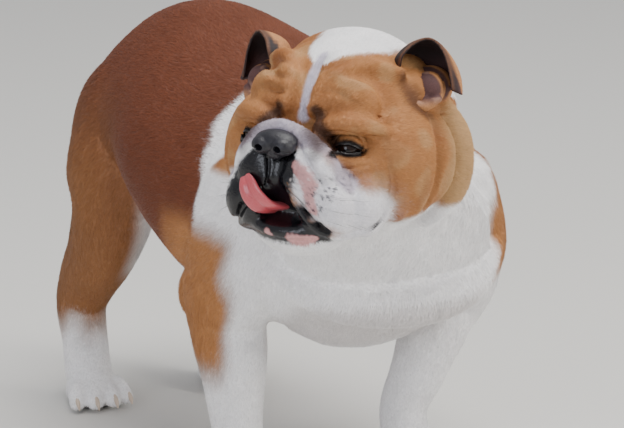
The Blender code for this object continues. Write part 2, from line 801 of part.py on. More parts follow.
def tongue_sheet():
    """The tongue, curling out of the mouth and up over the lip on the dog's right."""
    sections = smooth_path(
        [
            (-0.005, -0.082, -0.054, 0.0120, 0.0042),
            (-0.006, -0.104, -0.052, 0.0120, 0.0044),
            (-0.010, -0.1175, -0.048, 0.0115, 0.0044),
            (-0.017, -0.1225, -0.040, 0.0105, 0.0040),
            (-0.0225, -0.1225, -0.031, 0.0088, 0.0036),
            (-0.027, -0.1195, -0.0250, 0.0050, 0.0024),
        ],
        3,
    )
    centres = sections[:, :3]
    along = np.gradient(centres, axis=0)
    sides = 10
    points = []
    for centre, direction, (wide, thick) in zip(centres, along, sections[:, 3:]):
        forward = Vector(direction).normalized()
        across = (Vector((1, 0, 0.35)) - forward * forward.dot(Vector((1, 0, 0.35)))).normalized()
        up = across.cross(forward)
        for k in range(sides):
            a = 2 * math.pi * k / sides
            points.append(Vector(centre) + across * wide * math.cos(a) + up * thick * math.sin(a))
    count = len(centres)
    faces = [
        (r * sides + k, r * sides + (k + 1) % sides, (r + 1) * sides + (k + 1) % sides, (r + 1) * sides + k)
        for r in range(count - 1)
        for k in range(sides)
    ]
    faces += [tuple(range(sides)), tuple((count - 1) * sides + k for k in range(sides))]
    mesh = mesh_from(points, faces)
    mesh.transform(HEAD_PLACE)
    return link("tongue", outward(mesh))


def tail_stub():
    """A short, low-set tail that hangs close to the rump."""
    tail = fuse(
        "tail",
        [
            limb(
                [
                    (0, 0.262, 0.335, 0.017, 0.015),
                    (0, 0.284, 0.325, 0.015, 0.013),
                    (0.002, 0.298, 0.304, 0.011, 0.010),
                    (0.006, 0.301, 0.282, 0.006, 0.006),
                ]
            )
        ],
        0.0022,
        3,
    )
    return thin_out(tail, 200)


def paint(item, colour, roughness):
    """The plain colour of a node: sRGB-like red, green, blue in 0 to 1."""
    surface = bpy.data.materials.new(item.name)
    surface.use_nodes = True
    shader = surface.node_tree.nodes["Principled BSDF"]
    shader.inputs["Base Color"].default_value = (*colour, 1)
    shader.inputs["Roughness"].default_value = roughness
    shader.inputs["Metallic"].default_value = 0
    item.data.materials.clear()
    item.data.materials.append(surface)
    item.data.shade_smooth()


FUR_TAN = (0.46, 0.17, 0.06)
FUR_WHITE = (0.82, 0.80, 0.78)
LIP_BLACK = (0.02, 0.018, 0.022)
TONGUE_RED = (0.62, 0.10, 0.12)
EYE_BROWN = (0.05, 0.02, 0.01)


def settle(pieces):
    """Stands the dog with the middle of its box over the origin."""
    points = np.array([v.co for piece in pieces for v in piece.data.vertices])
    low, high = points.min(0), points.max(0)
    middle = (low + high) / 2
    for piece in pieces:
        piece.data.transform(Matrix.Translation((-middle[0], -middle[1], 0)))


def main():
    clear_scene()
    legs = [mass for side in (1, -1) for mass in (*foreleg(side), *hindleg(side))]
    body = fuse(
        "body",
        [torso_mass(), *legs, *neck_masses(), *chest_folds(), *sheath_mass(), *skull_masses()],
        BODY_VOXEL,
        9,
    )
    thin_out(body, BODY_TRIANGLES)
    carve(body, [block((-0.4, -0.4, -0.1), (0.4, 0.4, 0.0))])
    head = fuse(
        "head",
        [
            *skull_masses(),
            *[m for side in (1, -1) for m in (*flew_masses(side), *lid_folds(side))],
            *jaw_masses(),
            *face_folds(),
            *neck_masses(),
        ],
        HEAD_VOXEL,
        4,
    )
    thin_out(head, HEAD_TRIANGLES)
    # the head is what lies before its knives, and the body what lies behind them
    carve(head, head_knives())
    head = keep_part(head, HEAD_PLACE @ Vector((0, -0.02, 0)))
    head.name = "head"
    carve(body, [neck_knife()])
    front, body = split_in_two(body)
    carve(front, head_knives())
    neck = keep_part(front, Vector((0.02, -0.20, 0.30)))
    neck.name = "neck"
    nodes = part_body(body)
    nodes["neck"] = neck
    for side in (1, -1):
        word = "left" if side > 0 else "right"
        add_claws(nodes[f"forepaw_{word}"], FORE_PAWS[side], 1.0)
        add_claws(nodes[f"hindpaw_{word}"], HIND_PAWS[side], 0.90)
    nodes["head"] = head
    carve(nodes["torso"], [grown(head, GAP)])
    extras = [nose_pad(), tongue_sheet()]
    for side in (1, -1):
        extras.append(eye_ball(side))
    for extra in extras:
        carve(head, [grown(extra, GAP)])
        nodes[extra.name] = extra
    for side in (1, -1):
        ear = carve(ear_piece(side), [grown(head, GAP)])
        ear = keep_largest(ear)
        nodes[ear.name] = ear
    tail = tail_stub()
    carve(nodes["torso"], [grown(tail, GAP)])
    nodes["tail"] = tail
    for name in list(nodes):
        if name in ("head", "torso"):
            nodes[name] = keep_largest(nodes[name])
    for name, item in nodes.items():
        if name == "tongue":
            paint(item, TONGUE_RED, 0.35)
        elif name == "nose":
            paint(item, LIP_BLACK, 0.45)
        elif name.startswith("eye"):
            paint(item, EYE_BROWN, 0.08)
        elif name == "neck" or "paw" in name:
            paint(item, FUR_WHITE, 0.8)
        else:
            paint(item, FUR_TAN, 0.8)
    settle(list(nodes.values()))


main()
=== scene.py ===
# %% [markdown]
# # An English bulldog, life size
#
# The dog stands still with its head turned to its right and its tongue curled up over its lip.
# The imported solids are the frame: they give the true outline. This lesson covers them with one
# continuous skin, a short coat and the wet, bare parts of the face.

# %% Load the frame
import json
import math

import bmesh
import bpy
import numpy as np
from mathutils import Euler, Matrix, Vector, noise
from mathutils.bvhtree import BVHTree

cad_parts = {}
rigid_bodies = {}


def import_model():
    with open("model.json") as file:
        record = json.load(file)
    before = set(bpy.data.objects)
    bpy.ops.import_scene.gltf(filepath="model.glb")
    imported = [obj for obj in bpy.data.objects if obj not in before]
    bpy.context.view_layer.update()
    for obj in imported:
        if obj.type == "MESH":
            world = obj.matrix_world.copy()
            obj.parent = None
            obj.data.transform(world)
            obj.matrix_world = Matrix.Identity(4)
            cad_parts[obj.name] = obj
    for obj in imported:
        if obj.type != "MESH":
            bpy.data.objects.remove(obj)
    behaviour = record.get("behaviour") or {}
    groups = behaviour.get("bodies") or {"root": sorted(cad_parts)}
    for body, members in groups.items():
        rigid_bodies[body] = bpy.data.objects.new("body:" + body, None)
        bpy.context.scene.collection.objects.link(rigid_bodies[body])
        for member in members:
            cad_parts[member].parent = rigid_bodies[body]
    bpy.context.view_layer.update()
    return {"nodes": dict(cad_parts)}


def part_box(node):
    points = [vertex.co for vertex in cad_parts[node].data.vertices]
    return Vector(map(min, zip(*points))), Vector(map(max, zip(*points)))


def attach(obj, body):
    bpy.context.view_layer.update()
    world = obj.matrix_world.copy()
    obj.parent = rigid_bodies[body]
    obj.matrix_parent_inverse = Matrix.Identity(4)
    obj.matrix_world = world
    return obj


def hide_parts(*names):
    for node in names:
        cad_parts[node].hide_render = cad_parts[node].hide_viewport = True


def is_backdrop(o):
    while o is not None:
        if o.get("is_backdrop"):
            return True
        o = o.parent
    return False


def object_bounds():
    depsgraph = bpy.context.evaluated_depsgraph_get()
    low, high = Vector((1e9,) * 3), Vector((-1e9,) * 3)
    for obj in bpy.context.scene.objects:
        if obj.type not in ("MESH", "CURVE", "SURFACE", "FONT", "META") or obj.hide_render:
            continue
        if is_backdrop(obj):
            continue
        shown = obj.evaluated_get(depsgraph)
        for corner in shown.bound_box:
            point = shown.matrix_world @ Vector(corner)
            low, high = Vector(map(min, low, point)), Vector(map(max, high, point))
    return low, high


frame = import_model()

print("solids:", sorted(frame["nodes"]))

# %% [markdown]
# ## Where the head is
#
# Every measure of the face is given in the head's own frame: x to the dog's left, -y out of the
# nose, z up. One matrix turns it to the dog's right. The whole dog was slid so that its box is
# centred on the origin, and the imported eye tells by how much.

# %% Head frame
CHEST_WIDTH = 0.320
BACK_HEIGHT = 0.405
HEAD_WIDTH = 0.196
EYE_RADIUS = 0.0105
EAR_LENGTH = 0.047
HEAD_CENTRE = Vector((-0.064, -0.286, 0.371))
HEAD_YAW = math.radians(-57)
HEAD_PITCH = math.radians(-1)
HEAD_ROLL = math.radians(0)
HEAD_TURN = Euler((HEAD_PITCH, HEAD_ROLL, HEAD_YAW), "XYZ")
HEAD_PLACE = Matrix.Translation(HEAD_CENTRE) @ HEAD_TURN.to_matrix().to_4x4()
EYE = Vector((0.0460, -0.0710, 0.000))
NOSE = Vector((0.0, -0.1185, 0.007))
EAR_ROOT = Vector((0.064, 0.006, 0.048))
EAR_DROOP = {1: Vector((0, 0, 0)), -1: Vector((-0.012, -0.010, -0.009))}
eye_low, eye_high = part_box("eye_left")
SLIDE = (eye_low + eye_high) / 2 - HEAD_PLACE @ EYE
print("the dog was slid by", [round(v, 4) for v in SLIDE])

# %% [markdown]
# ## Masses of flesh
#
# A sculptor builds an animal up from lumps of clay over an armature. Here the lumps are
# ellipsoids and the limbs are tapering tubes through a few knots. Metaballs could do this too,
# but named masses keep their places when one of them is changed.


# %% Lumps and limbs
def mirrored(side, point):
    """A point given for the dog's left side (side = 1), or its twin on the right (side = -1)."""
    return Vector((side * point[0], point[1], point[2]))


def mesh_from(points, faces):
    """A mass of flesh from its points and faces."""
    mesh = bpy.data.meshes.new("mass")
    mesh.from_pydata([tuple(p) for p in points], [], faces)
    return mesh


def lump(centre, radii, turn=(0, 0, 0), place=Matrix()):
    """An ellipsoid of flesh. turn is in degrees about X, Y and Z."""
    mesh = bpy.data.meshes.new("lump")
    shape = bmesh.new()
    bmesh.ops.create_icosphere(shape, subdivisions=4, radius=1)
    spin = Euler([math.radians(a) for a in turn]).to_matrix().to_4x4()
    size = Matrix.Diagonal((*radii, 1))
    shape.transform(place @ Matrix.Translation(Vector(centre)) @ spin @ size)
    shape.to_mesh(mesh)
    shape.free()
    return mesh


def smooth_path(points, steps):
    """Points along a Catmull-Rom curve, steps to each span. Any number of coordinates."""
    p = np.array([points[0], *points, points[-1]], float)
    found = []
    for i in range(1, len(p) - 2):
        for t in np.linspace(0, 1, steps, endpoint=False):
            a, b, c, d = p[i - 1 : i + 3]
            value = 2 * b + (c - a) * t
            value = value + (2 * a - 5 * b + 4 * c - d) * t**2
            value = value + (3 * b - a - 3 * c + d) * t**3
            found.append(0.5 * value)
    found.append(p[-2])
    return np.array(found)


def tube_faces(rings, sides):
    """The quads between neighbouring rings of a tube."""
    return [
        (r * sides + k, r * sides + (k + 1) % sides, (r + 1) * sides + (k + 1) % sides, (r + 1) * sides + k)
        for r in range(rings - 1)
        for k in range(sides)
    ]


def dome_rings(ring, angles, sign):
    """Rings that shrink beyond an end of a tube, each as (centre, across, fore)."""
    centre, across, fore, along = ring
    return [
        (centre + along * (sign * math.sin(a)) * across.length, across * math.cos(a), fore * math.cos(a))
        for a in angles
    ]


def limb(knots, place=Matrix(), steps=5, sides=20, dome=(75, 50, 25), round_tube=False):
    """A tapering tube with domed ends. Each knot is (x, y, z, half width, half depth).

    The width of a limb keeps to the x axis. A round tube has no width to keep, so its rings follow the
    path without a twist.
    """
    path = smooth_path(knots, steps)
    centres, radii = path[:, :3], np.maximum(path[:, 3:5], 1e-4)
    rise = np.gradient(centres, axis=0)
    rings = []
    guide = Vector((0.3, 0.2, 1)) if round_tube else Vector((1, 0, 0))
    for centre, direction, (wide, deep) in zip(centres, rise, radii):
        along = Vector(direction).normalized()
        across = (guide - along * along.dot(guide)).normalized()
        if round_tube:
            guide = across
        fore = along.cross(across)
        rings.append((Vector(centre), across * wide, fore * deep, along))
    dome = [math.radians(a) for a in dome]
    head = dome_rings(rings[0], dome, -1)
    foot = dome_rings(rings[-1], reversed(dome), 1)
    points = []
    for centre, across, fore in [*head, *[r[:3] for r in rings], *foot]:
        for k in range(sides):
            a = 2 * math.pi * k / sides
            points.append(centre + across * math.cos(a) + fore * math.sin(a))
    count = len(points) // sides
    faces = tube_faces(count, sides)
    faces.append(tuple(reversed(range(sides))))
    faces.append(tuple((count - 1) * sides + k for k in range(sides)))
    mesh = mesh_from(points, faces)
    mesh.transform(place)
    return outward(mesh)


def fold(knots, place=Matrix(), steps=6):
    """A roll of skin: a thin round tube. Each knot is (x, y, z, radius)."""
    return limb([(*k[:3], k[3], k[3]) for k in knots], place, steps, 12, round_tube=True)


def outward(mesh):
    """The mesh with all its faces turned outward."""
    shape = bmesh.new()
    shape.from_mesh(mesh)
    bmesh.ops.recalc_face_normals(shape, faces=shape.faces)
    shape.to_mesh(mesh)
    shape.free()
    return mesh

# %% [markdown]
# ## Trunk, legs and paws
#
# The trunk is lofted through cross sections, as a boat is through its ribs. A bulldog is deep in
# the brisket, narrow in the waist and a little higher over the loin than at the withers.

# %% Trunk
def torso_mass():
    """Barrel of the body, lofted through sections.

    Each section is (y, half width, lowest z, highest z, narrowing of the top).
    """
    half = CHEST_WIDTH / 2
    top = BACK_HEIGHT
    sections = (
        (-0.262, half * 0.30, 0.215, 0.270, 0.10),
        (-0.250, half * 0.52, 0.190, 0.300, 0.10),
        (-0.220, half * 0.72, 0.168, 0.335, 0.12),
        (-0.170, half * 0.82, 0.156, top - 0.045, 0.16),
        (-0.110, half * 0.87, 0.156, top - 0.030, 0.20),
        (-0.040, half * 0.90, 0.178, top - 0.026, 0.18),
        (0.030, half * 0.86, 0.202, top - 0.016, 0.18),
        (0.090, half * 0.77, 0.214, top - 0.004, 0.22),
        (0.140, half * 0.71, 0.222, top, 0.28),
        (0.190, half * 0.66, 0.232, top - 0.010, 0.32),
        (0.230, half * 0.56, 0.246, top - 0.032, 0.34),
        (0.256, half * 0.40, 0.262, top - 0.062, 0.30),
        (0.268, half * 0.18, 0.286, top - 0.092, 0.20),
    )
    sides, power = 40, 2 / 2.12
    points = []
    rows = smooth_path(sections, 4)
    for y, wide, low, high, narrowing in rows:
        middle, tall = (low + high) / 2, (high - low) / 2
        for k in range(sides):
            a = 2 * math.pi * k / sides
            c, s = math.cos(a), math.sin(a)
            x = wide * math.copysign(abs(c) ** power, c) * (1 - narrowing * s)
            points.append((x, y, middle + tall * math.copysign(abs(s) ** power, s)))
    count = len(rows)
    faces = tube_faces(count, sides)
    faces.append(tuple(range(sides)))
    faces.append(tuple((count - 1) * sides + k for k in range(sides)))
    return outward(mesh_from(points, faces))


FORE_PAWS = {1: Vector((0.070, -0.146, 0)), -1: Vector((-0.110, -0.172, 0))}
HIND_PAWS = {1: Vector((0.049, 0.224, 0)), -1: Vector((-0.098, 0.212, 0))}

# %% [markdown]
# ## Legs
#
# The shoulder blade lies flat on the ribs and the forelegs stand wide under it, a little bowed. The
# hind legs are lighter, with a low stifle. Each leg is a tapering tube through the joints of the real
# one, with a lump for each large muscle, because a tube through named joints is easy to pose.

# %% Legs
def foreleg(side):
    """Shoulder blade and upper arm bulging from the chest, elbow, forearm and pastern."""
    paw = FORE_PAWS[side]
    x, y = side * paw.x, paw.y
    shoulder = lump(mirrored(side, (0.100, -0.146, 0.250)), (0.044, 0.070, 0.088), (12, side * -8, 0))
    upper = limb(
        [
            (side * 0.090, -0.182, 0.280, 0.044, 0.052),
            (side * 0.104, -0.176, 0.235, 0.044, 0.050),
            (side * 0.116, -0.150, 0.190, 0.038, 0.044),
            (side * 0.114, -0.140, 0.165, 0.034, 0.038),
        ]
    )
    lower = limb(
        [
            (side * 0.116, -0.140, 0.200, 0.036, 0.042),
            (side * (0.60 * 0.118 + 0.40 * x), 0.60 * -0.143 + 0.40 * y, 0.150, 0.0350, 0.0370),
            (side * (0.25 * 0.118 + 0.75 * x), 0.30 * -0.143 + 0.70 * (y + 0.008), 0.100, 0.0270, 0.0285),
            (side * x, y + 0.012, 0.062, 0.0235, 0.0240),
            (side * x, y + 0.006, 0.030, 0.0250, 0.0260),
        ]
    )
    elbow = lump(mirrored(side, (0.120, -0.112, 0.190)), (0.026, 0.026, 0.032))
    return [shoulder, upper, lower, elbow, *paw_masses(paw, 1.0)]


def hindleg(side):
    """Thigh, stifle, second thigh, hock and rear pastern."""
    paw = HIND_PAWS[side]
    x, y = side * paw.x, paw.y
    thigh = lump(mirrored(side, (0.078, 0.165, 0.268)), (0.046, 0.084, 0.088), (-14, side * -8, 0))
    upper = limb(
        [
            (side * 0.070, 0.190, 0.292, 0.044, 0.062),
            (side * 0.088, 0.165, 0.245, 0.046, 0.068),
            (side * 0.096, 0.158, 0.205, 0.039, 0.052),
            (side * (0.55 * 0.096 + 0.45 * x), 0.180, 0.165, 0.0335, 0.0420),
            (side * (0.35 * 0.096 + 0.65 * x), 0.70 * (y + 0.020) + 0.30 * 0.180, 0.125, 0.0285, 0.0335),
            (side * x, y + 0.020, 0.095, 0.0250, 0.0290),
            (side * x, y + 0.012, 0.060, 0.0235, 0.0245),
            (side * x, y + 0.004, 0.030, 0.0245, 0.0250),
        ]
    )
    hock = lump(mirrored(side, (x, y + 0.040, 0.108)), (0.014, 0.014, 0.024), (-12, 0, 0))
    buttock = lump(mirrored(side, (0.060, 0.224, 0.272)), (0.038, 0.044, 0.062), (-10, 0, 0))
    return [thigh, upper, hock, buttock, *paw_masses(paw, 0.90)]

# %% [markdown]
# ## Paws
#
# A bulldog's foot is round, with high knuckles and four toes over one pad. The toes could be carved
# out of a block. A short roll for each toe, splayed by its place in the row, keeps them alike.

# %% Paws
TOES = (-1.5, -0.5, 0.5, 1.5)


def toe_frame(paw, size, slot):
    """Where a toe starts and ends: the outer pair is shorter and splayed."""
    splay = math.radians(13) * slot
    reach = (0.034 if abs(slot) < 1 else 0.028) * size
    start = paw + Vector((slot * 0.0125 * size, -0.004 * size, 0.016 * size))
    out = Vector((math.sin(splay), -math.cos(splay), 0))
    return start, out, reach


def paw_masses(paw, size):
    """A round, high-knuckled paw: one pad and four toes."""
    pad = lump(paw + Vector((0, -0.004, 0.018 * size)), (0.030 * size, 0.033 * size, 0.023 * size))
    heel = lump(paw + Vector((0, 0.018 * size, 0.010 * size)), (0.019 * size, 0.015 * size, 0.013 * size))
    masses = [pad, heel]
    for slot in TOES:
        start, out, reach = toe_frame(paw, size, slot)
        knuckle = start + out * reach * 0.45 + Vector((0, 0, 0.007 * size))
        tip = start + out * reach - Vector((0, 0, 0.004 * size))
        radius = 0.0108 * size
        masses.append(
            fold(
                [
                    (*start, radius),
                    (*knuckle, radius * 1.04),
                    (*(knuckle.lerp(tip, 0.6) + Vector((0, 0, 0.0015))), radius * 1.02),
                    (*tip, radius * 0.84),
                ],
                steps=4,
            )
        )
    return masses

# %% [markdown]
# ## Neck and brisket
#
# The neck is nearly as wide as the head and arches into the withers, and loose skin hangs across the
# brisket. Both start from the head's matrix, so that they follow when the head is turned.

# %% Neck and brisket
def neck_masses():
    """Thick arched neck from the withers to the back of the skull, with the dewlap under it."""
    back = HEAD_PLACE @ Vector((0, 0.030, -0.004))
    throat = HEAD_PLACE @ Vector((0, 0.000, -0.062))
    crest = limb(
        [
            (-0.004, -0.110, 0.296, 0.102, 0.082),
            (-0.010, -0.165, 0.308, 0.102, 0.082),
            (-0.028, -0.222, 0.330, 0.096, 0.078),
            (*back, 0.086, 0.076),
        ]
    )
    apron = limb(
        [
            (0.008, -0.208, 0.224, 0.106, 0.054),
            (-0.008, -0.240, 0.262, 0.098, 0.052),
            (*throat, 0.072, 0.046),
        ]
    )
    return [crest, apron]


def chest_folds():
    """The loose skin that hangs as a broad apron across the brisket."""
    return [
        fold([(-0.100, -0.215, 0.236, 0.020), (-0.050, -0.252, 0.208, 0.023), (0.020, -0.262, 0.202, 0.025),
              (0.080, -0.240, 0.212, 0.024), (0.118, -0.198, 0.240, 0.020)]),
        fold([(-0.100, -0.205, 0.282, 0.018), (-0.060, -0.250, 0.258, 0.021), (0.020, -0.262, 0.250, 0.023),
              (0.078, -0.236, 0.260, 0.021), (0.104, -0.190, 0.282, 0.018)]),
    ]


def sheath_mass():
    """The low ridge along the middle of the belly."""
    knots = [(0, 0.030, 0.204, 0.016, 0.015), (0, 0.075, 0.203, 0.014, 0.013),
             (0, 0.120, 0.216, 0.012, 0.012)]
    return [limb(knots)]

# %% [markdown]
# ## The head
#
# The skull is nearly a cube. The flews are the hanging upper lips, the lower jaw juts out under
# them, and a roll of skin lies over the nose. Folds are round tubes sunk half into the flesh, so
# that the fusing below leaves soft rolls of them.

# %% Skull and jaws
def skull_masses():
    """The head without its loose skin."""
    at = HEAD_PLACE
    half = HEAD_WIDTH / 2
    masses = [
        lump((0, 0.004, 0.014), (half * 0.82, 0.083, 0.068), place=at),
        lump((0, 0.018, 0.036), (half * 0.74, 0.050, 0.050), place=at),
        lump((0, -0.022, 0.026), (half * 0.70, 0.050, 0.046), place=at),
        lump((0, -0.078, -0.026), (0.054, 0.036, 0.038), place=at),
        lump((0, -0.040, -0.042), (0.070, 0.054, 0.044), place=at),
    ]
    for side in (1, -1):
        masses += [
            lump(mirrored(side, (0.060, -0.012, -0.020)), (0.040, 0.060, 0.056), (0, 0, side * 8), at),
            lump(mirrored(side, (0.056, 0.012, 0.036)), (0.024, 0.032, 0.024), place=at),
            lump(mirrored(side, (0.034, -0.054, 0.032)), (0.030, 0.022, 0.026), (28, 0, side * 14), at),
        ]
    return masses


FLEW_SPREAD = {1: 1.0, -1: 0.87}


def flew_masses(side):
    """One hanging half of the upper lip, from beside the nose to the corner of the mouth."""
    at = HEAD_PLACE
    spread = side * FLEW_SPREAD[side]
    return [
        lump((spread * 0.027, -0.096, -0.024), (0.029, 0.024, 0.036), (8, 0, side * 14), at),
        lump((spread * 0.041, -0.088, -0.047), (0.024, 0.029, 0.034), (0, side * -12, side * 28), at),
        lump((spread * 0.060, -0.064, -0.048), (0.020, 0.032, 0.030), (24, 0, side * 12), at),
        fold(
            [
                (spread * 0.012, -0.112, -0.024, 0.009),
                (spread * 0.025, -0.111, -0.044, 0.010),
                (spread * 0.038, -0.103, -0.062, 0.011),
                (spread * 0.053, -0.086, -0.067, 0.011),
                (spread * 0.067, -0.060, -0.058, 0.011),
            ],
            at,
        ),
    ]


def jaw_masses():
    """The undershot lower jaw, which shows in front below the flews."""
    at = HEAD_PLACE
    return [
        lump((0.004, -0.080, -0.075), (0.043, 0.034, 0.023), (-6, 0, 0), at),
        fold([(-0.038, -0.078, -0.066, 0.008), (-0.024, -0.102, -0.069, 0.009),
              (0.004, -0.110, -0.071, 0.009), (0.030, -0.102, -0.069, 0.009),
              (0.044, -0.078, -0.066, 0.008)], at),
    ]

# %% [markdown]
# ## Folds and lids
#
# The roll over the nose, the brows, the cheek folds and the lids are loose skin over the skull.
# They could be sculpted by hand. Round tubes through a few knots can be moved one at a time.

# %% Folds and lids
def face_folds():
    """Wrinkles: the roll over the nose, brows, cheek folds and the furrowed forehead."""
    at = HEAD_PLACE
    folds = [
        fold([(-0.052, -0.086, -0.030, 0.009), (-0.040, -0.096, -0.009, 0.009),
              (-0.026, -0.101, 0.009, 0.0088), (0, -0.1045, 0.0195, 0.0085),
              (0.026, -0.101, 0.009, 0.0088), (0.040, -0.096, -0.009, 0.009),
              (0.052, -0.086, -0.030, 0.009)], at),
    ]
    for side in (1, -1):
        for knots in (
            # brow over the inner half of the eye, up beside the furrow
            ((0.013, -0.074, 0.032, 0.010), (0.018, -0.064, 0.050, 0.011), (0.034, -0.042, 0.062, 0.010)),
            # upper lid and the heavy skin above it
            ((0.024, -0.082, 0.016, 0.009), (0.044, -0.076, 0.021, 0.011), (0.064, -0.062, 0.017, 0.010),
             (0.078, -0.040, 0.006, 0.008)),
            # bag under the eye, running down to the lip
            ((0.032, -0.084, -0.011, 0.009), (0.050, -0.077, -0.016, 0.011), (0.068, -0.060, -0.013, 0.010)),
            # cheek fold from the outer eye to the corner of the mouth
            ((0.074, -0.048, -0.004, 0.009), (0.077, -0.044, -0.028, 0.012), (0.074, -0.042, -0.056, 0.012)),
            # loose skin that hangs from below the ear, behind the cheek
            ((0.072, 0.030, 0.026, 0.012), (0.083, 0.040, 0.000, 0.016), (0.086, 0.043, -0.030, 0.017),
             (0.080, 0.038, -0.056, 0.015), (0.066, 0.028, -0.076, 0.011)),
            # forehead wrinkle towards the ear
            ((0.016, -0.046, 0.058, 0.009), (0.040, -0.034, 0.062, 0.010), (0.060, -0.016, 0.056, 0.009)),
        ):
            folds.append(fold([(side * k[0], *k[1:]) for k in knots], at))
    return folds


def lid_folds(side):
    """Upper and lower lid rims, drooping over the eyeball."""
    reach = EYE_RADIUS + 0.0012
    rims = []
    for tilt, radius in ((0.10, 0.0028), (-0.42, 0.0024)):
        knots = []
        for k in range(7):
            a = math.radians(-70 + 140 * k / 6)
            rise = tilt * math.cos(a) + 0.10 * math.sin(a) * -side
            spot = Vector((math.sin(a), -math.cos(a), rise)).normalized() * reach
            spot.x *= 1.25
            knots.append((*(mirrored(side, EYE) + spot), radius))
        rims.append(fold(knots, HEAD_PLACE))
    return rims


def tail_masses():
    """A short, low-set tail that hangs close to the rump."""
    knots = [
        (0, 0.240, 0.335, 0.019, 0.017),
        (0, 0.262, 0.335, 0.017, 0.015),
        (0, 0.284, 0.325, 0.015, 0.013),
        (0.002, 0.298, 0.304, 0.011, 0.010),
        (0.006, 0.301, 0.282, 0.006, 0.006),
    ]
    return [limb(knots)]

# %% [markdown]
# ## One skin
#
# A voxel remesh melts all the masses into one closed surface, as slip joins clay. The body then
# needs far fewer triangles than the face, so a weighted Decimate thins the body only.

# %% Fuse the skin
SKIN_VOXEL, SKIN_ROUNDS = 0.0021, 5
SKIN_TRIANGLES = 112000


def link(name, mesh):
    """An object of that mesh, in the scene."""
    item = bpy.data.objects.new(name, mesh)
    bpy.context.scene.collection.objects.link(item)
    return item


def baked(item):
    """The item with its modifiers made part of its mesh."""
    graph = bpy.context.evaluated_depsgraph_get()
    mesh = bpy.data.meshes.new_from_object(item.evaluated_get(graph))
    item.modifiers.clear()
    item.data = mesh
    return item


def melted(name, masses, voxel, rounds):
    """The masses as one closed skin."""
    merged = bmesh.new()
    for mass in masses:
        merged.from_mesh(mass)
        bpy.data.meshes.remove(mass)
    mesh = bpy.data.meshes.new(name)
    merged.to_mesh(mesh)
    merged.free()
    item = link(name, mesh)
    remesh = item.modifiers.new("melt", "REMESH")
    remesh.mode = "VOXEL"
    remesh.voxel_size = voxel
    ease = item.modifiers.new("ease", "SMOOTH")
    ease.factor = 0.5
    ease.iterations = rounds
    return baked(item)


def places(mesh):
    """The mesh's points as an array."""
    points = np.empty(len(mesh.vertices) * 3, np.float32)
    mesh.vertices.foreach_get("co", points)
    return points.reshape(-1, 3).astype(float)


def normals_of(mesh):
    """The normal at each point of the mesh."""
    found = np.empty(len(mesh.vertices) * 3, np.float32)
    mesh.vertex_normals.foreach_get("vector", found)
    return found.reshape(-1, 3).astype(float)


INTO_HEAD = np.array(HEAD_PLACE.inverted())
OUT_OF_HEAD = np.array(HEAD_PLACE)


def head_places(points):
    """Points of the dog in the head's own frame."""
    return points @ INTO_HEAD[:3, :3].T + INTO_HEAD[:3, 3]


def ramp(value, low, high):
    """0 below low, 1 above high, and smooth between them."""
    t = np.clip((value - low) / (high - low), 0, 1)
    return t * t * (3 - 2 * t)


masses = [torso_mass(), *neck_masses(), *chest_folds(), *sheath_mass(), *skull_masses()]
masses += [*jaw_masses(), *face_folds(), *tail_masses()]
for side in (1, -1):
    masses += [*foreleg(side), *hindleg(side), *flew_masses(side), *lid_folds(side)]
skin = melted("skin", masses, SKIN_VOXEL, SKIN_ROUNDS)
print("melted skin:", len(skin.data.polygons), "faces")

# %% [markdown]
# ## Fine where it is looked at
#
# The remesh gives the same small faces everywhere. The back of a dog is smooth and needs few of
# them, while the lids and lips need more. Decimate takes the weights of a vertex group for the one,
# and splitting the faces near the eyes gives the other.

# %% Thin the body, keep the face fine
local = head_places(places(skin.data))
face = (1 - ramp(local[:, 1], 0.02, 0.06)) * ramp(local[:, 2], -0.115, -0.085)
group = skin.vertex_groups.new(name="body")
for level in np.unique(np.round(1 - face, 1)):
    members = np.nonzero(np.round(1 - face, 1) == level)[0]
    if level > 0:
        group.add(members.tolist(), float(level), "REPLACE")
thin = skin.modifiers.new("thin", "DECIMATE")
thin.ratio = SKIN_TRIANGLES / (2 * len(skin.data.polygons))
thin.vertex_group = "body"
baked(skin)


def finer(item, wanted):
    """Splits each face that has all its corners among the wanted points into smaller ones."""
    shape = bmesh.new()
    shape.from_mesh(item.data)
    shape.verts.ensure_lookup_table()
    edges = [e for e in shape.edges if wanted[e.verts[0].index] and wanted[e.verts[1].index]]
    before = len(shape.verts)
    bmesh.ops.subdivide_edges(shape, edges=edges, cuts=1, use_grid_fill=True, smooth=0.3)
    bmesh.ops.triangulate(shape, faces=[f for f in shape.faces if len(f.verts) > 4])
    shape.to_mesh(item.data)
    shape.free()
    print("split", len(edges), "edges,", len(item.data.vertices) - before, "new points")


# metres in the head's frame: the finer front of the face, and how far around the eyes it is finest
MUZZLE_REAR, CHIN_LOW, BROW_HIGH, EYE_AROUND = -0.045, -0.095, 0.045, 0.019
local = head_places(places(skin.data))
finer(skin, (local[:, 1] < MUZZLE_REAR) & (local[:, 2] > CHIN_LOW) & (local[:, 2] < BROW_HIGH))
local = head_places(places(skin.data))
near_eye = [
    np.linalg.norm(local - np.array(mirrored(side, EYE)), axis=1) < EYE_AROUND for side in (1, -1)
]
finer(skin, near_eye[0] | near_eye[1])
skin.data.calc_loop_triangles()
print("thinned skin:", len(skin.data.loop_triangles), "triangles")
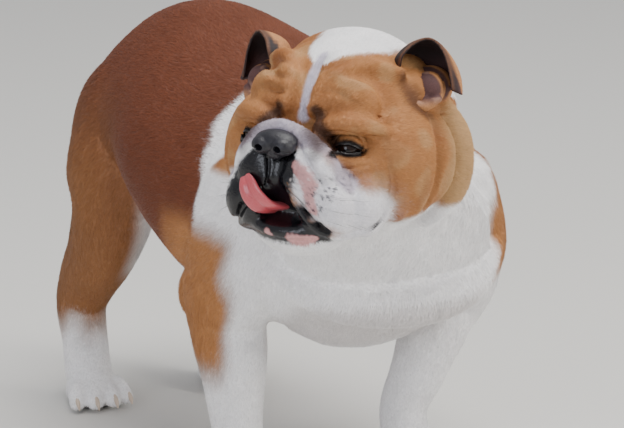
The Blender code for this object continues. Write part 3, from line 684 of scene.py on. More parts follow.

# %% [markdown]
# ## Sculpting with strokes
#
# A wrinkle is a stroke: a line of knots, each with a radius and a depth. Every point of the skin
# near the line moves along its own normal, most at the line and less towards the radius.
# The same strokes later paint shade into the bottom of each crease.

# %% Strokes
def stroke_field(points, knots, steps=4):
    """For each point: its distance from the stroke as a share of the radius, and the depth there."""
    path = smooth_path(knots, steps)
    reach = 2.6 * path[:, 3].max()
    low, high = path[:, :3].min(0) - reach, path[:, :3].max(0) + reach
    near = np.nonzero(((points > low) & (points < high)).all(1))[0]
    share = np.full(len(points), 9.0)
    depth = np.zeros(len(points))
    spots = points[near]
    best = np.full(len(near), 9.0)
    deep = np.zeros(len(near))
    for a, b in zip(path[:-1], path[1:]):
        run = b[:3] - a[:3]
        t = np.clip(((spots - a[:3]) @ run) / max(run @ run, 1e-12), 0, 1)
        gap = np.linalg.norm(spots - a[:3] - t[:, None] * run, axis=1)
        radius = a[3] + (b[3] - a[3]) * t
        ratio = gap / radius
        closer = ratio < best
        best[closer] = ratio[closer]
        if len(a) > 4:
            deep[closer] = (a[4] + (b[4] - a[4]) * t)[closer]
    share[near] = best
    depth[near] = deep
    return share, depth


def both_sides(knots):
    """The stroke and its mirror image."""
    return [knots, [(-k[0], *k[1:]) for k in knots]]


SKIN_FACES = [tuple(f.vertices) for f in skin.data.polygons]
SURFACE = BVHTree.FromPolygons([tuple(p) for p in places(skin.data)], SKIN_FACES)


def snapped(knots, head=True):
    """The same line with its knots moved to the nearest points of the unsculpted skin."""
    place = HEAD_PLACE if head else Matrix()
    back = place.inverted()
    return [(*(back @ SURFACE.find_nearest(place @ Vector(k[:3]))[0]), *k[3:]) for k in knots]


# x, y, z, radius and depth, in the head's frame. A negative depth is a crease.
FURROW = [
    (0, -0.094, 0.034, 0.003, -0.001), (0, -0.086, 0.044, 0.0036, -0.004),
    (0.001, -0.072, 0.058, 0.004, -0.0045), (0.004, -0.056, 0.072, 0.0045, -0.003),
    (0.008, -0.044, 0.080, 0.005, -0.001),
]
ROLL_BACK = [
    (0, -0.098, 0.030, 0.0032, -0.003), (0.018, -0.098, 0.024, 0.0032, -0.0045),
    (0.034, -0.096, 0.008, 0.0032, -0.0045), (0.048, -0.090, -0.010, 0.003, -0.004),
    (0.056, -0.084, -0.024, 0.003, -0.002),
]
ROLL_FRONT = [
    (0.021, -0.110, 0.004, 0.003, -0.003), (0.030, -0.107, -0.010, 0.003, -0.0035),
    (0.038, -0.104, -0.024, 0.003, -0.002),
]
UNDER_EYE = [
    (0.038, -0.090, -0.004, 0.0028, -0.002), (0.052, -0.086, -0.013, 0.003, -0.0022),
    (0.066, -0.074, -0.012, 0.003, -0.001),
]
EYE_CORNER = [(0.064, -0.072, 0.007, 0.0025, -0.0015), (0.074, -0.062, 0.010, 0.0025, -0.0012)]
CHEEK_CREASE = [
    (0.078, -0.064, -0.008, 0.003, -0.001), (0.081, -0.062, -0.022, 0.003, -0.0025),
    (0.081, -0.060, -0.036, 0.003, -0.0025), (0.078, -0.062, -0.052, 0.003, -0.0015),
]
NECK_CREASE = [
    (0.086, 0.000, 0.024, 0.004, -0.003), (0.094, -0.004, 0.006, 0.0045, -0.006),
    (0.098, -0.008, -0.015, 0.0045, -0.006), (0.095, -0.010, -0.040, 0.0045, -0.005),
    (0.086, -0.014, -0.060, 0.004, -0.002),
]
NECK_FOLD = [
    (0.084, 0.022, 0.024, 0.012, 0.003), (0.094, 0.018, -0.005, 0.014, 0.007),
    (0.094, 0.022, -0.040, 0.014, 0.007), (0.082, 0.020, -0.064, 0.012, 0.003),
]
BROW_LINE = [
    (0.012, -0.064, 0.056, 0.004, 0.001), (0.026, -0.062, 0.056, 0.0045, 0.002),
    (0.042, -0.060, 0.050, 0.005, 0.002), (0.060, -0.052, 0.042, 0.005, 0.001),
]
BROW_CREASE = [
    (0.020, -0.072, 0.046, 0.003, -0.001), (0.034, -0.068, 0.043, 0.003, -0.002),
    (0.048, -0.062, 0.036, 0.003, -0.001),
]
LID_CREASE = [
    (0.030, -0.086, 0.013, 0.0024, -0.001), (0.044, -0.086, 0.013, 0.0026, -0.0024),
    (0.060, -0.074, 0.011, 0.0024, -0.001),
]
EYE_BAG = [
    (0.030, -0.090, -0.006, 0.0024, -0.001), (0.042, -0.088, -0.014, 0.0026, -0.002),
    (0.056, -0.080, -0.016, 0.0026, -0.001),
]
BROW_ARC = [
    (0.018, -0.070, 0.060, 0.003, -0.0006), (0.036, -0.062, 0.060, 0.003, -0.0014),
    (0.056, -0.050, 0.052, 0.003, -0.0008),
]
MOUTH = [
    (0.012, -0.124, -0.036, 0.003, -0.003), (0.026, -0.122, -0.044, 0.0035, -0.006),
    (0.036, -0.118, -0.054, 0.0035, -0.007), (0.046, -0.108, -0.068, 0.0035, -0.006),
    (0.060, -0.098, -0.076, 0.003, -0.004), (0.072, -0.086, -0.070, 0.003, -0.004),
    (0.079, -0.068, -0.058, 0.003, -0.003),
]
PHILTRUM = [
    (0, -0.126, -0.004, 0.002, -0.002), (0, -0.126, -0.020, 0.002, -0.003),
    (0, -0.124, -0.034, 0.0025, -0.003),
]
CHIN_CREASE = [
    (-0.020, -0.108, -0.074, 0.004, -0.001), (0, -0.112, -0.076, 0.004, -0.001),
    (0.024, -0.108, -0.076, 0.004, -0.001),
]
FACE_STROKES = [FURROW, PHILTRUM, CHIN_CREASE]
PAIRED = [ROLL_BACK, ROLL_FRONT, UNDER_EYE, EYE_CORNER, CHEEK_CREASE, NECK_CREASE, NECK_FOLD, BROW_LINE]
PAIRED += [BROW_CREASE, LID_CREASE, EYE_BAG, BROW_ARC, MOUTH]
for one in PAIRED:
    FACE_STROKES += both_sides(one)
# The dog's right brow is bunched by the turn of the head
FACE_STROKES += [
    [
        (-0.010, -0.074, 0.058, 0.0030, -0.001), (-0.024, -0.072, 0.054, 0.0032, -0.0035),
        (-0.040, -0.062, 0.052, 0.003, -0.0015),
    ],
    [
        (-0.012, -0.082, 0.046, 0.0030, -0.001), (-0.024, -0.080, 0.042, 0.0032, -0.0035),
        (-0.038, -0.072, 0.040, 0.003, -0.002),
    ],
    [
        (-0.020, -0.060, 0.068, 0.0032, -0.001), (-0.036, -0.052, 0.064, 0.0034, -0.003),
        (-0.050, -0.040, 0.056, 0.003, -0.0015),
    ],
    [
        (-0.014, -0.086, 0.036, 0.005, 0.001), (-0.026, -0.084, 0.034, 0.0055, 0.003),
        (-0.040, -0.074, 0.032, 0.005, 0.001),
    ],
    [
        (-0.018, -0.076, 0.050, 0.005, 0.001), (-0.030, -0.070, 0.049, 0.005, 0.0025),
        (-0.042, -0.062, 0.046, 0.005, 0.001),
    ],
]
FACE_STROKES = [snapped(knots) for knots in FACE_STROKES]
# Strokes on the neck and chest, in the dog's frame
BODY_STROKES = [
    [
        (-0.040, -0.330, 0.272, 0.011, -0.001), (0.010, -0.318, 0.258, 0.012, -0.0025),
        (0.060, -0.280, 0.262, 0.012, -0.0025), (0.100, -0.230, 0.290, 0.012, -0.001),
    ],
    [
        (-0.110, -0.230, 0.262, 0.010, -0.001), (-0.060, -0.280, 0.236, 0.016, -0.001),
        (0.000, -0.296, 0.228, 0.016, -0.001), (0.060, -0.272, 0.236, 0.014, -0.0005),
    ],
    [
        (0.040, -0.330, 0.330, 0.006, -0.001), (0.066, -0.290, 0.300, 0.007, -0.003),
        (0.096, -0.230, 0.300, 0.007, -0.002),
    ],
    [
        (-0.130, -0.175, 0.250, 0.010, -0.002), (-0.134, -0.165, 0.215, 0.010, -0.003),
        (-0.120, -0.195, 0.190, 0.009, -0.002),
    ],
    [
        (0.130, -0.175, 0.250, 0.010, -0.002), (0.134, -0.165, 0.215, 0.010, -0.003),
        (0.120, -0.195, 0.190, 0.009, -0.002),
    ],
    [
        (-0.128, 0.120, 0.300, 0.020, -0.002), (-0.126, 0.100, 0.250, 0.018, -0.004),
        (-0.112, 0.106, 0.205, 0.014, -0.003),
    ],
    [
        (0.128, 0.120, 0.300, 0.020, -0.002), (0.126, 0.100, 0.250, 0.018, -0.004),
        (0.112, 0.106, 0.205, 0.014, -0.003),
    ],
]
BODY_STROKES = [snapped(knots, False) for knots in BODY_STROKES]
print(len(FACE_STROKES), "strokes on the face,", len(BODY_STROKES), "on the body")

# %% [markdown]
# ## Eyelids
#
# A lid is a thin sheet that rests on the eyeball and ends in a dark rim. Cutting a slit would leave
# an edge without thickness. Here the skin is a height over the ball: it dips behind the ball within
# the slit and lies over the ball around it, so it stays one closed sheet.

# %% Eyelids
# The slit of the eye in metres: half its width, and how far it opens above and below its corners
SLIT_HALF, SLIT_UP, SLIT_DOWN = 0.0110, 0.0044, 0.0018
# the lid's thickness, the roll along its rim, and how far the skin in the slit lies behind the ball
LID_THICK, LID_ROLL, BEHIND_BALL = 0.0016, 0.0008, 0.0032
# how far outside the slit the roll is highest, and how wide it is
ROLL_OUT, ROLL_WIDE = 0.0012, 0.0009
# the skin that is moved: how far past the ball, and between which depths along the gaze
LID_REACH, REACH_BACK, REACH_FRONT = 0.004, -0.018, 0.026
EYE_FRONT = Vector((0.40, -0.91, -0.02)).normalized()
EYE_ALONG = Vector((0.90, 0.40, -0.10))
EYE_ALONG = (EYE_ALONG - EYE_FRONT * EYE_FRONT.dot(EYE_ALONG)).normalized()
EYE_UP = EYE_ALONG.cross(EYE_FRONT) * -1
EYE_UP = EYE_UP if EYE_UP.z > 0 else -EYE_UP
EYE_AXES = np.array([EYE_ALONG, EYE_UP, EYE_FRONT])


def slit(local, side):
    """Places from the eye's centre (along the slit, up, out), and how far outside the slit they are."""
    spot = ((local - np.array(mirrored(side, EYE))) * [side, 1, 1]) @ EYE_AXES.T
    along, up = spot[:, 0], spot[:, 1]
    arch = 1 - np.clip(np.abs(along) / SLIT_HALF, 0, 1.3) ** 2
    outside = np.maximum(np.maximum(up - SLIT_UP * arch, -SLIT_DOWN * arch - up), np.abs(along) - SLIT_HALF)
    return spot, outside


def lidded(local):
    """Skin pressed behind the ball within the slit, and laid over the ball around it."""
    for side in (1, -1):
        spot, outside = slit(local, side)
        flat = np.hypot(spot[:, 0], spot[:, 1])
        near = (flat < EYE_RADIUS + LID_REACH) & (spot[:, 2] > REACH_BACK) & (spot[:, 2] < REACH_FRONT)
        over = EYE_RADIUS + LID_THICK
        ball = np.sqrt(np.maximum(over**2 - flat**2, 0))
        roll = LID_ROLL * np.exp(-(((outside - ROLL_OUT) / ROLL_WIDE) ** 2))
        wrapped = np.maximum(spot[:, 2], (ball + roll) * (flat < over))
        behind = np.sqrt(np.maximum(EYE_RADIUS**2 - flat**2, 0)) - BEHIND_BALL
        open_share = 1 - ramp(outside, -0.0005, 0.0003)
        height = wrapped + (np.minimum(behind, spot[:, 2]) - wrapped) * open_share
        move = np.where(near, height - spot[:, 2], 0)
        local = local + move[:, None] * (EYE_AXES[2] * [side, 1, 1])
    return local

# %% [markdown]
# ## Pressing the strokes in
#
# Each stroke moves the points around it, and slow noise gives the loose flesh its unevenness. The
# skin is then set back by the depth of the coat, so that the hair and not the skin is the outline.

# %% Press the strokes into the skin
COAT_DEPTH = 0.0016
SWELL_SIZE, SWELL_HEIGHT, SWELL_SEED = 0.035, 0.0011, 5


def sculpted(points, normals):
    """The points moved along their normals by every stroke."""
    local = head_places(points)
    push = np.zeros(len(points))
    for knots in FACE_STROKES:
        share, depth = stroke_field(local, knots)
        push += depth * np.exp(-share * share)
    for knots in BODY_STROKES:
        share, depth = stroke_field(points, knots)
        push += depth * np.exp(-share * share)
    return points + normals * push[:, None]


def fleshy(points, normals, size, height, seed):
    """Loose flesh is never quite smooth: slow swells of the given size."""
    offset = Vector((seed, 2 * seed, 3 * seed))
    swell = np.array([noise.noise(Vector(p) / size + offset) for p in points])
    return points + normals * (swell * height)[:, None]


points = sculpted(places(skin.data), normals_of(skin.data))
points = fleshy(points, normals_of(skin.data), SWELL_SIZE, SWELL_HEIGHT, SWELL_SEED)
above = ramp(points[:, 2], 0.004, 0.02)
points -= normals_of(skin.data) * (COAT_DEPTH * above)[:, None]
local = lidded(head_places(points))
points = local @ OUT_OF_HEAD[:3, :3].T + OUT_OF_HEAD[:3, 3]
points[:, 2] = np.maximum(points[:, 2], 0.0)
skin.data.vertices.foreach_set("co", (points + np.array(SLIDE)).astype(np.float32).ravel())
skin.data.update()
skin.data.shade_smooth()
print("skin stands", round(float(points[:, 2].max()), 3), "m high")

# %% [markdown]
# ## Colours
#
# A bulldog's coat runs from white to red-brown, with black leather at nose, lips and lids. Its
# colours are picked as sRGB hex values, as they look on a screen, and one function turns them to
# linear light, in which the renderer mixes them.

# %% Palette
def linear(code):
    """An sRGB hex colour in linear light."""
    parts = [int(code[i : i + 2], 16) / 255 for i in (1, 3, 5)]
    return np.array([c / 12.92 if c <= 0.04045 else ((c + 0.055) / 1.055) ** 2.4 for c in parts])


FACE_TAN = linear("#b37a4a")
FOLD_TAN = linear("#c29a6b")
DEEP_TAN = linear("#9a5f36")
BACK_RED = linear("#6f3d28")
THIGH_TAN = linear("#98663f")
WHITE = linear("#faf8f8")
# white in painted shade: the cool lilac that white hair takes in shade
WHITE_IN_PAINTED_SHADE = linear("#cdc6d4")
ROLL_LILAC = linear("#bdb3bf")
# painted shade for the white underside of the belly
BELLY_SHADE_GREY = linear("#b9aeaa")
ROLL_GREY = linear("#6f6877")
SPOT_GREY = linear("#3d3a44")
LIP_BLACK = linear("#0f0e13")
LID_BLACK = linear("#120c0b")
STREAK = linear("#3a2116")
LIP_PINK = linear("#d79a98")
EAR_BROWN = linear("#4a2c20")
PAD_GREY = linear("#2a2526")

# %% [markdown]
# ## Markings
#
# The markings are painted as on a clay model: first the tan and red ground, then the white
# collar, chest and legs, then the strokes of the face. Skin and coat ask the same function, so
# they always agree.

# %% Ground and collar
def wavy(points, size, seed):
    """A value near 0 that wanders by about 1, for soft, uneven edges."""
    a = points / size * 2 * math.pi
    return (
        np.sin(a[:, 0] + 1.7 * np.sin(0.7 * a[:, 1] + seed))
        + np.sin(a[:, 1] * 1.1 + 1.3 * np.sin(0.8 * a[:, 2] + 2 * seed))
        + np.sin(a[:, 2] * 0.9 + 1.5 * np.sin(0.9 * a[:, 0] + 3 * seed))
    ) / 3


def blend(colour, target, share):
    """Each colour moved towards the target by its share."""
    return colour + (target - colour) * share[:, None]


# heights, and the y of the collar's rear edge there
COLLAR_RIGHT = (
    [0.20, 0.25, 0.29, 0.32, 0.35, 0.40, 0.44],
    [-0.145, -0.135, -0.125, -0.10, -0.084, -0.078, -0.10],
)
COLLAR_LEFT = ([0.20, 0.24, 0.28, 0.35, 0.40, 0.44], [-0.250, -0.232, -0.222, -0.180, -0.145, -0.12])
# places along the body, and the height of the upper edge of the white belly there
BELLY_LINE = ([-0.10, 0.0, 0.10, 0.20], [0.200, 0.222, 0.236, 0.245])


def ground(points):
    """Red back, tan thighs, white collar, chest, belly and feet.

    Each ramp's two numbers are the places, in metres, between which one colour gives way to the next.
    """
    x, y, z = points.T
    colour = np.tile(BACK_RED, (len(points), 1))
    colour = blend(colour, THIGH_TAN, ramp(y, 0.03, 0.15) * (1 - ramp(z, 0.22, 0.36)))
    behind = y + 0.5 * (z - 0.28) + 0.016 * wavy(points, 0.12, 4)
    shoulder = ramp(x, 0.07, 0.11) * (1 - ramp(behind, -0.22, -0.11)) * (1 - ramp(z, 0.32, 0.40))
    colour = blend(colour, FACE_TAN, shoulder)
    right = 1 - ramp(x, -0.05, 0.05)
    collar_right = np.interp(z, *COLLAR_RIGHT)
    collar_left = np.interp(z, *COLLAR_LEFT)
    edge = collar_left + (collar_right - collar_left) * right + 0.004 * wavy(points, 0.05, 2)
    white = 1 - ramp(y - edge, -0.006, 0.006)
    # forelegs: white, but tan on the outside of the right one
    fore = (1 - ramp(z, 0.19, 0.215)) * (1 - ramp(y, -0.085, -0.070))
    white = np.maximum(white, fore)
    tan_leg = ramp(-x, 0.126, 0.139) * ramp(z, 0.105, 0.150) * (1 - ramp(z, 0.245, 0.275))
    tan_leg *= ramp(y + 0.010 * wavy(points, 0.07, 1), -0.215, -0.185)
    tan_leg *= 1 - ramp(y + 0.4 * (z - 0.2) + 0.008 * wavy(points, 0.06, 6), -0.085, -0.035)
    white = white * (1 - tan_leg)
    # belly and groin
    low = np.interp(y, *BELLY_LINE)
    belly = (1 - ramp(z - low, -0.004, 0.012)) * (1 - ramp(np.abs(x), 0.075, 0.10)) * ramp(z, 0.13, 0.16)
    white = np.maximum(white, belly * (1 - ramp(y, 0.20, 0.24)))
    inner = ramp(y, 0.08, 0.12) * (1 - ramp(np.abs(x), 0.052, 0.070)) * (1 - ramp(z, 0.235, 0.26))
    white = np.maximum(white, inner)
    # hind feet and pasterns
    sock = ramp(y, 0.08, 0.12) * (1 - ramp(z + 0.010 * wavy(points, 0.05, 3), 0.060, 0.100))
    white = np.maximum(white, sock)
    tan = blend(colour, FACE_TAN, tan_leg)
    # painted shade: the white of the belly is greyed where it lies underneath
    shaded = blend(np.tile(WHITE, (len(points), 1)), BELLY_SHADE_GREY, 0.45 * belly)
    return tan + (shaded - tan) * white[:, None]

# %% [markdown]
# ## Face paint
#
# The black lips, the pink patch, the pale stripe and the dark streak from the eye are strokes like
# the wrinkles, with a colour instead of a depth. Order matters: the last stroke lies on top, as with
# a brush. A picture laid over the head would smear at its sides, and strokes don't.

# %% Face paint
# Each stroke: knots of x, y, z and radius in the head's frame, a colour, a strength and a softness
SKULL_PATCH = [
    (0.004, -0.054, 0.070, 0.008), (0.001, -0.032, 0.078, 0.020), (0.007, 0.000, 0.080, 0.034),
    (0.008, 0.030, 0.070, 0.043), (0.006, 0.060, 0.050, 0.047),
]
BLAZE = [
    (0.003, -0.104, 0.022, 0.0060), (0.004, -0.100, 0.030, 0.0058), (0.003, -0.088, 0.042, 0.0050),
    (0.001, -0.074, 0.056, 0.0044), (0.001, -0.062, 0.068, 0.0042),
]
ROLL = [
    (-0.056, -0.084, -0.030, 0.010), (-0.040, -0.098, -0.009, 0.0095), (-0.026, -0.103, 0.009, 0.0095),
    (0, -0.107, 0.0195, 0.0095), (0.026, -0.103, 0.009, 0.0095), (0.040, -0.098, -0.009, 0.0100),
    (0.052, -0.090, -0.028, 0.012),
]
FLEW_WHITE = [
    (0.028, -0.112, -0.012, 0.018), (0.042, -0.106, -0.036, 0.022), (0.056, -0.090, -0.050, 0.022),
    (0.064, -0.072, -0.056, 0.025),
]
JAW_WHITE = [
    (-0.050, -0.070, -0.085, 0.030), (0, -0.085, -0.092, 0.034), (0.050, -0.070, -0.085, 0.026),
    (0.058, -0.024, -0.092, 0.022),
]
MUZZLE_BLACK = [
    (-0.014, -0.114, 0.002, 0.010), (0, -0.118, 0.000, 0.014), (0.010, -0.120, -0.012, 0.013),
    (0.001, -0.121, -0.026, 0.0175), (-0.002, -0.120, -0.042, 0.0200),
]
RIGHT_FLEW_BLACK = [
    (-0.012, -0.120, -0.010, 0.014), (-0.026, -0.114, -0.024, 0.015), (-0.034, -0.108, -0.042, 0.017),
    (-0.040, -0.098, -0.062, 0.018),
]
PINK_PATCH = [
    (0.022, -0.118, -0.010, 0.0040), (0.029, -0.118, -0.018, 0.0066), (0.034, -0.117, -0.026, 0.0064),
    (0.033, -0.118, -0.036, 0.0046), (0.037, -0.114, -0.048, 0.0046),
]
LOWER_LIP = [
    (-0.036, -0.092, -0.064, 0.012), (-0.020, -0.110, -0.067, 0.012), (0.002, -0.114, -0.068, 0.012),
    (0.022, -0.110, -0.068, 0.012), (0.038, -0.096, -0.068, 0.010),
]
LIP_EDGE = [
    (0.016, -0.123, -0.036, 0.0050), (0.028, -0.120, -0.045, 0.0044), (0.037, -0.117, -0.056, 0.0040),
    (0.047, -0.107, -0.071, 0.0040), (0.060, -0.097, -0.078, 0.0036), (0.072, -0.085, -0.072, 0.0034),
    (0.080, -0.068, -0.060, 0.0040),
]
CHIN_PINK = [
    (0.016, -0.112, -0.076, 0.0062), (0.026, -0.108, -0.077, 0.0060), (0.032, -0.104, -0.074, 0.0040),
]
CHIN_PINK_SMALL = [(-0.008, -0.117, -0.072, 0.0036), (-0.003, -0.118, -0.076, 0.0032)]
MOUTH_INSIDE = [
    (-0.020, -0.108, -0.052, 0.012), (0.004, -0.108, -0.054, 0.013), (0.022, -0.106, -0.056, 0.012),
]
TEAR = [
    (0.017, -0.080, 0.031, 0.0040), (0.024, -0.086, 0.020, 0.0062), (0.033, -0.090, 0.009, 0.0068),
    (0.036, -0.092, -0.002, 0.0056),
]
WHISKER_SPOTS = [(0.046, -0.112, -0.030, 0.016), (0.040, -0.114, -0.042, 0.016)]
EAR_FOOT = [(0.072, -0.018, 0.052, 0.010), (0.078, -0.014, 0.036, 0.010), (0.082, -0.006, 0.022, 0.008)]


# painted shade in the creases: the depth at which it is darkest, and how dark it is there
DEEP_CREASE, CREASE_SHADE = 0.004, 0.42


def front_share(local, knots, level=0.33):
    """As stroke_field, but for paint laid on from the front, where depth counts less."""
    flat = [(k[0], k[1] * level, *k[2:]) for k in knots]
    return stroke_field(local * np.array([1, level, 1]), flat)[0]


def face_paint(local, colour):
    """Strokes of the face, over the ground. Its ramps are places in the head's frame, in metres."""
    x, y, z = local.T
    speck = wavy(local, 0.009, 7) * wavy(local, 0.0061, 4)
    # how far back the tan of the head reaches
    back = np.where(x > 0, 0.030 + 0.055 * ramp(x, 0.035, 0.055) * (1 - ramp(z, 0.015, 0.040)), 0.034)
    tan = 1 - ramp(y - back + 0.004 * wavy(local, 0.03, 1), -0.004, 0.005)
    tan = tan * ramp(z + 0.15 * np.maximum(-y, 0), -0.066, -0.056)
    colour = blend(colour, FACE_TAN, tan)
    light = tan * ramp(x, 0.075, 0.09) * ramp(y, 0.0, 0.02)
    colour = blend(colour, FOLD_TAN, light)
    colour = blend(colour, FOLD_TAN, tan * 0.5 * ramp(wavy(local, 0.040, 9), 0.1, 0.7))
    colour = blend(colour, DEEP_TAN, tan * 0.55 * ramp(wavy(local, 0.055, 4), 0.0, 0.7) * (1 - light))

    def paint(knots, target, strength=1.0, soft=0.25, rough=0.0, squeeze=0.0):
        nonlocal colour
        share = front_share(local, knots, squeeze) if squeeze else stroke_field(local, knots)[0]
        inside = 1 - ramp(share + rough * speck, 1 - soft, 1 + soft)
        colour = blend(colour, target, strength * inside)

    def paint_both(knots, *settings):
        for one in both_sides(knots):
            paint(one, *settings)

    paint(SKULL_PATCH, WHITE, 1.0, 0.10, 0.10)
    # the pale stripe: white hair, in the lilac of painted shade
    paint(BLAZE, WHITE_IN_PAINTED_SHADE, 0.95, 0.30, 0.0, 0.12)
    paint_both(FLEW_WHITE, WHITE, 1.0, 0.18, 0.1)
    paint(JAW_WHITE, WHITE, 1.0, 0.2)
    # painted shade: a cool lilac over the white of the dog's left flew, speckled at its edges
    paint(FLEW_WHITE, WHITE_IN_PAINTED_SHADE, 0.35, 0.8, 0.8)
    paint(MUZZLE_BLACK, LIP_BLACK, 1.0, 0.2, 0.3, 0.33)
    paint(RIGHT_FLEW_BLACK, LIP_BLACK, 1.0, 0.15, 0.25, 0.33)
    paint(ROLL, ROLL_LILAC, 0.95, 0.2)
    share, _ = stroke_field(local, ROLL)
    colour = blend(colour, ROLL_GREY, 0.55 * (share < 1) * ramp(speck, 0.12, 0.3))
    paint(PINK_PATCH, LIP_PINK, 0.85, 0.35, 0.9, 0.33)
    share, _ = stroke_field(local, WHISKER_SPOTS)
    colour = blend(colour, SPOT_GREY, 0.85 * (1 - ramp(share, 0.5, 1.0)) * ramp(speck, 0.06, 0.18))
    paint(LOWER_LIP, LIP_BLACK, 1.0, 0.15, 0.2, 0.33)
    paint_both(LIP_EDGE, LIP_BLACK, 1.0, 0.25)
    paint(MOUTH_INSIDE, LIP_BLACK, 1.0, 0.2, 0.0, 0.33)
    paint(CHIN_PINK, LIP_PINK, 0.95, 0.3, 0.3)
    paint(CHIN_PINK_SMALL, LIP_PINK, 0.9, 0.3, 0.3)
    for side in (1, -1):
        spot, outside = slit(local, side)
        rim = (1 - ramp(outside + 0.0005 * speck, 0.0026, 0.0056)) * (spot[:, 2] > 0)
        colour = blend(colour, LID_BLACK, rim)
    paint_both(TEAR, STREAK, 0.9, 0.6, 0.0, 0.25)
    paint_both(EAR_FOOT, EAR_BROWN, 0.8, 0.5)
    # painted shade at the bottom of each crease of the face
    for knots in FACE_STROKES:
        share, depth = stroke_field(local, knots)
        crease = np.exp(-share * share) * np.clip(-depth / DEEP_CREASE, 0, 1)
        colour = colour * (1 - CREASE_SHADE * crease)[:, None]
    return colour


def markings(points):
    """Linear colour of skin and coat at points of the dog."""
    colour = ground(points)
    local = head_places(points)
    near = (local[:, 1] < 0.13) & (local[:, 2] > -0.15)
    colour[near] = face_paint(local[near], colour[near])
    sole = 1 - ramp(points[:, 2], 0.002, 0.005)
    return blend(colour, PAD_GREY, sole)


def bareness(points):
    """1 where the skin is bare and moist: lips, lid rims, chin and the black under the nose."""
    local = head_places(points)
    bare = np.zeros(len(points))
    near = np.nonzero((local[:, 1] < -0.05) & (local[:, 2] > -0.12))[0]
    spots = local[near]
    for knots in (MUZZLE_BLACK, RIGHT_FLEW_BLACK, LOWER_LIP, MOUTH_INSIDE, *both_sides(LIP_EDGE)):
        bare[near] = np.maximum(bare[near], 1 - ramp(front_share(spots, knots), 0.75, 1.05))
    roll, _ = stroke_field(local, ROLL)
    bare *= ramp(roll, 0.8, 1.0)
    for side in (1, -1):
        spot, outside = slit(local, side)
        bare = np.maximum(bare, (1 - ramp(outside, 0.0010, 0.0022)) * (spot[:, 2] > 0))
    return bare


def set_colours(mesh, colours):
    """Gives each point its coat colour."""
    layer = mesh.color_attributes.new("coat", "FLOAT_COLOR", "POINT")
    packed = np.ones((len(mesh.vertices), 4), np.float32)
    packed[:, :3] = colours
    layer.data.foreach_set("color", packed.ravel())


def set_values(mesh, name, values):
    """Gives each point a number under that name."""
    layer = mesh.attributes.new(name, "FLOAT", "POINT")
    layer.data.foreach_set("value", values.astype(np.float32))


skin_points = places(skin.data) - np.array(SLIDE)
skin_normals = normals_of(skin.data)
skin_colours = markings(skin_points)
skin_bare = bareness(skin_points)
set_colours(skin.data, skin_colours)
set_values(skin.data, "moist", skin_bare)
print("painted", len(skin_points), "points of skin")

# %% [markdown]
# ## Materials from a few nodes
#
# One small function adds any node with its settings and its links. Dog skin is matt where hair
# covers it, and moist and faintly glossy where it is bare.

# %% Skin material
def add(tree, kind, settings=None, **sockets):
    """A node of that kind: settings are its own fields, sockets are values or other nodes' outputs."""
    node = tree.nodes.new(kind)
    for field, value in (settings or {}).items():
        setattr(node, field, value)
    for name, value in sockets.items():
        socket = node.inputs[int(name[1:])] if name[0] == "_" else node.inputs[name.replace("_", " ")]
        if isinstance(value, bpy.types.NodeSocket):
            tree.links.new(value, socket)
        else:
            socket.default_value = value
    return node


def material(name, roughness):
    """A Principled material, its tree and its shader."""
    made = bpy.data.materials.new(name)
    made.use_nodes = True
    tree = made.node_tree
    shader = tree.nodes["Principled BSDF"]
    shader.inputs["Roughness"].default_value = roughness
    shader.inputs["Metallic"].default_value = 0
    return made, tree, shader


def dress_skin():
    """Skin in its painted colour: matt with fine clumps, glossy where it is moist."""
    made, tree, shader = material("short_haired_skin", 0.75)
    place = add(tree, "ShaderNodeTexCoord").outputs["Object"]
    colour = add(tree, "ShaderNodeAttribute", {"attribute_name": "coat"}).outputs["Color"]
    moist = add(tree, "ShaderNodeAttribute", {"attribute_name": "moist"}).outputs["Fac"]
    # hair clumps about 2 mm apart
    clump = add(tree, "ShaderNodeTexNoise", Vector=place, Scale=420.0, Detail=3.0).outputs["Fac"]
    shade = add(tree, "ShaderNodeMapRange", _0=clump, _1=0.3, _2=0.7, _3=0.82, _4=1.12).outputs[0]
    tinted = add(tree, "ShaderNodeVectorMath", {"operation": "SCALE"}, _0=colour, _3=shade).outputs[0]
    tree.links.new(tinted, shader.inputs["Base Color"])
    gloss = add(tree, "ShaderNodeMapRange", _0=moist, _1=0.0, _2=1.0, _3=0.78, _4=0.24).outputs[0]
    tree.links.new(gloss, shader.inputs["Roughness"])
    bump = add(tree, "ShaderNodeBump", Strength=0.5, Distance=0.0008, Height=clump).outputs["Normal"]
    tree.links.new(bump, shader.inputs["Normal"])
    shader.inputs["Subsurface Weight"].default_value = 0.05
    shader.inputs["Subsurface Radius"].default_value = (0.006, 0.003, 0.002)
    return made


skin.data.materials.clear()
skin.data.materials.append(dress_skin())
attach(skin, "root")
FLESH = [n for n in frame["nodes"] if n.split("_")[0] in ("torso", "neck", "head", "tail")]
FLESH += [n for n in frame["nodes"] if "leg_" in n or "paw_" in n]
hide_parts(*FLESH)
print("the skin stands for", len(FLESH), "solids")

# %% [markdown]
# ## Eyes
#
# The eye is a ball set deep under a heavy upper lid, so only a dark slit shows. The clear window in
# front bulges a little, which is what makes a glint sit on it.

# %% Eyeballs
def plain_mesh(name, points, faces):
    """A mesh of that name from its points and faces."""
    mesh = bpy.data.meshes.new(name)
    mesh.from_pydata([tuple(p) for p in points], [], faces)
    mesh.update()
    return mesh


def placed(item):
    """Moves a piece from the dog's frame to the stage's, with its own frame at the origin."""
    item.data.transform(Matrix.Translation(SLIDE))
    item.data.shade_smooth()
    return item


def bright(linear_colour):
    """A linear colour with its alpha of 1."""
    return (*[float(c) for c in linear_colour], 1)


GAZE = Vector((0.34, -0.91, -0.22)).normalized()
# the clear window in front of the eye: half its width as an angle, and how much it bulges
WINDOW = math.cos(math.radians(38))
WINDOW_BULGE = 0.05


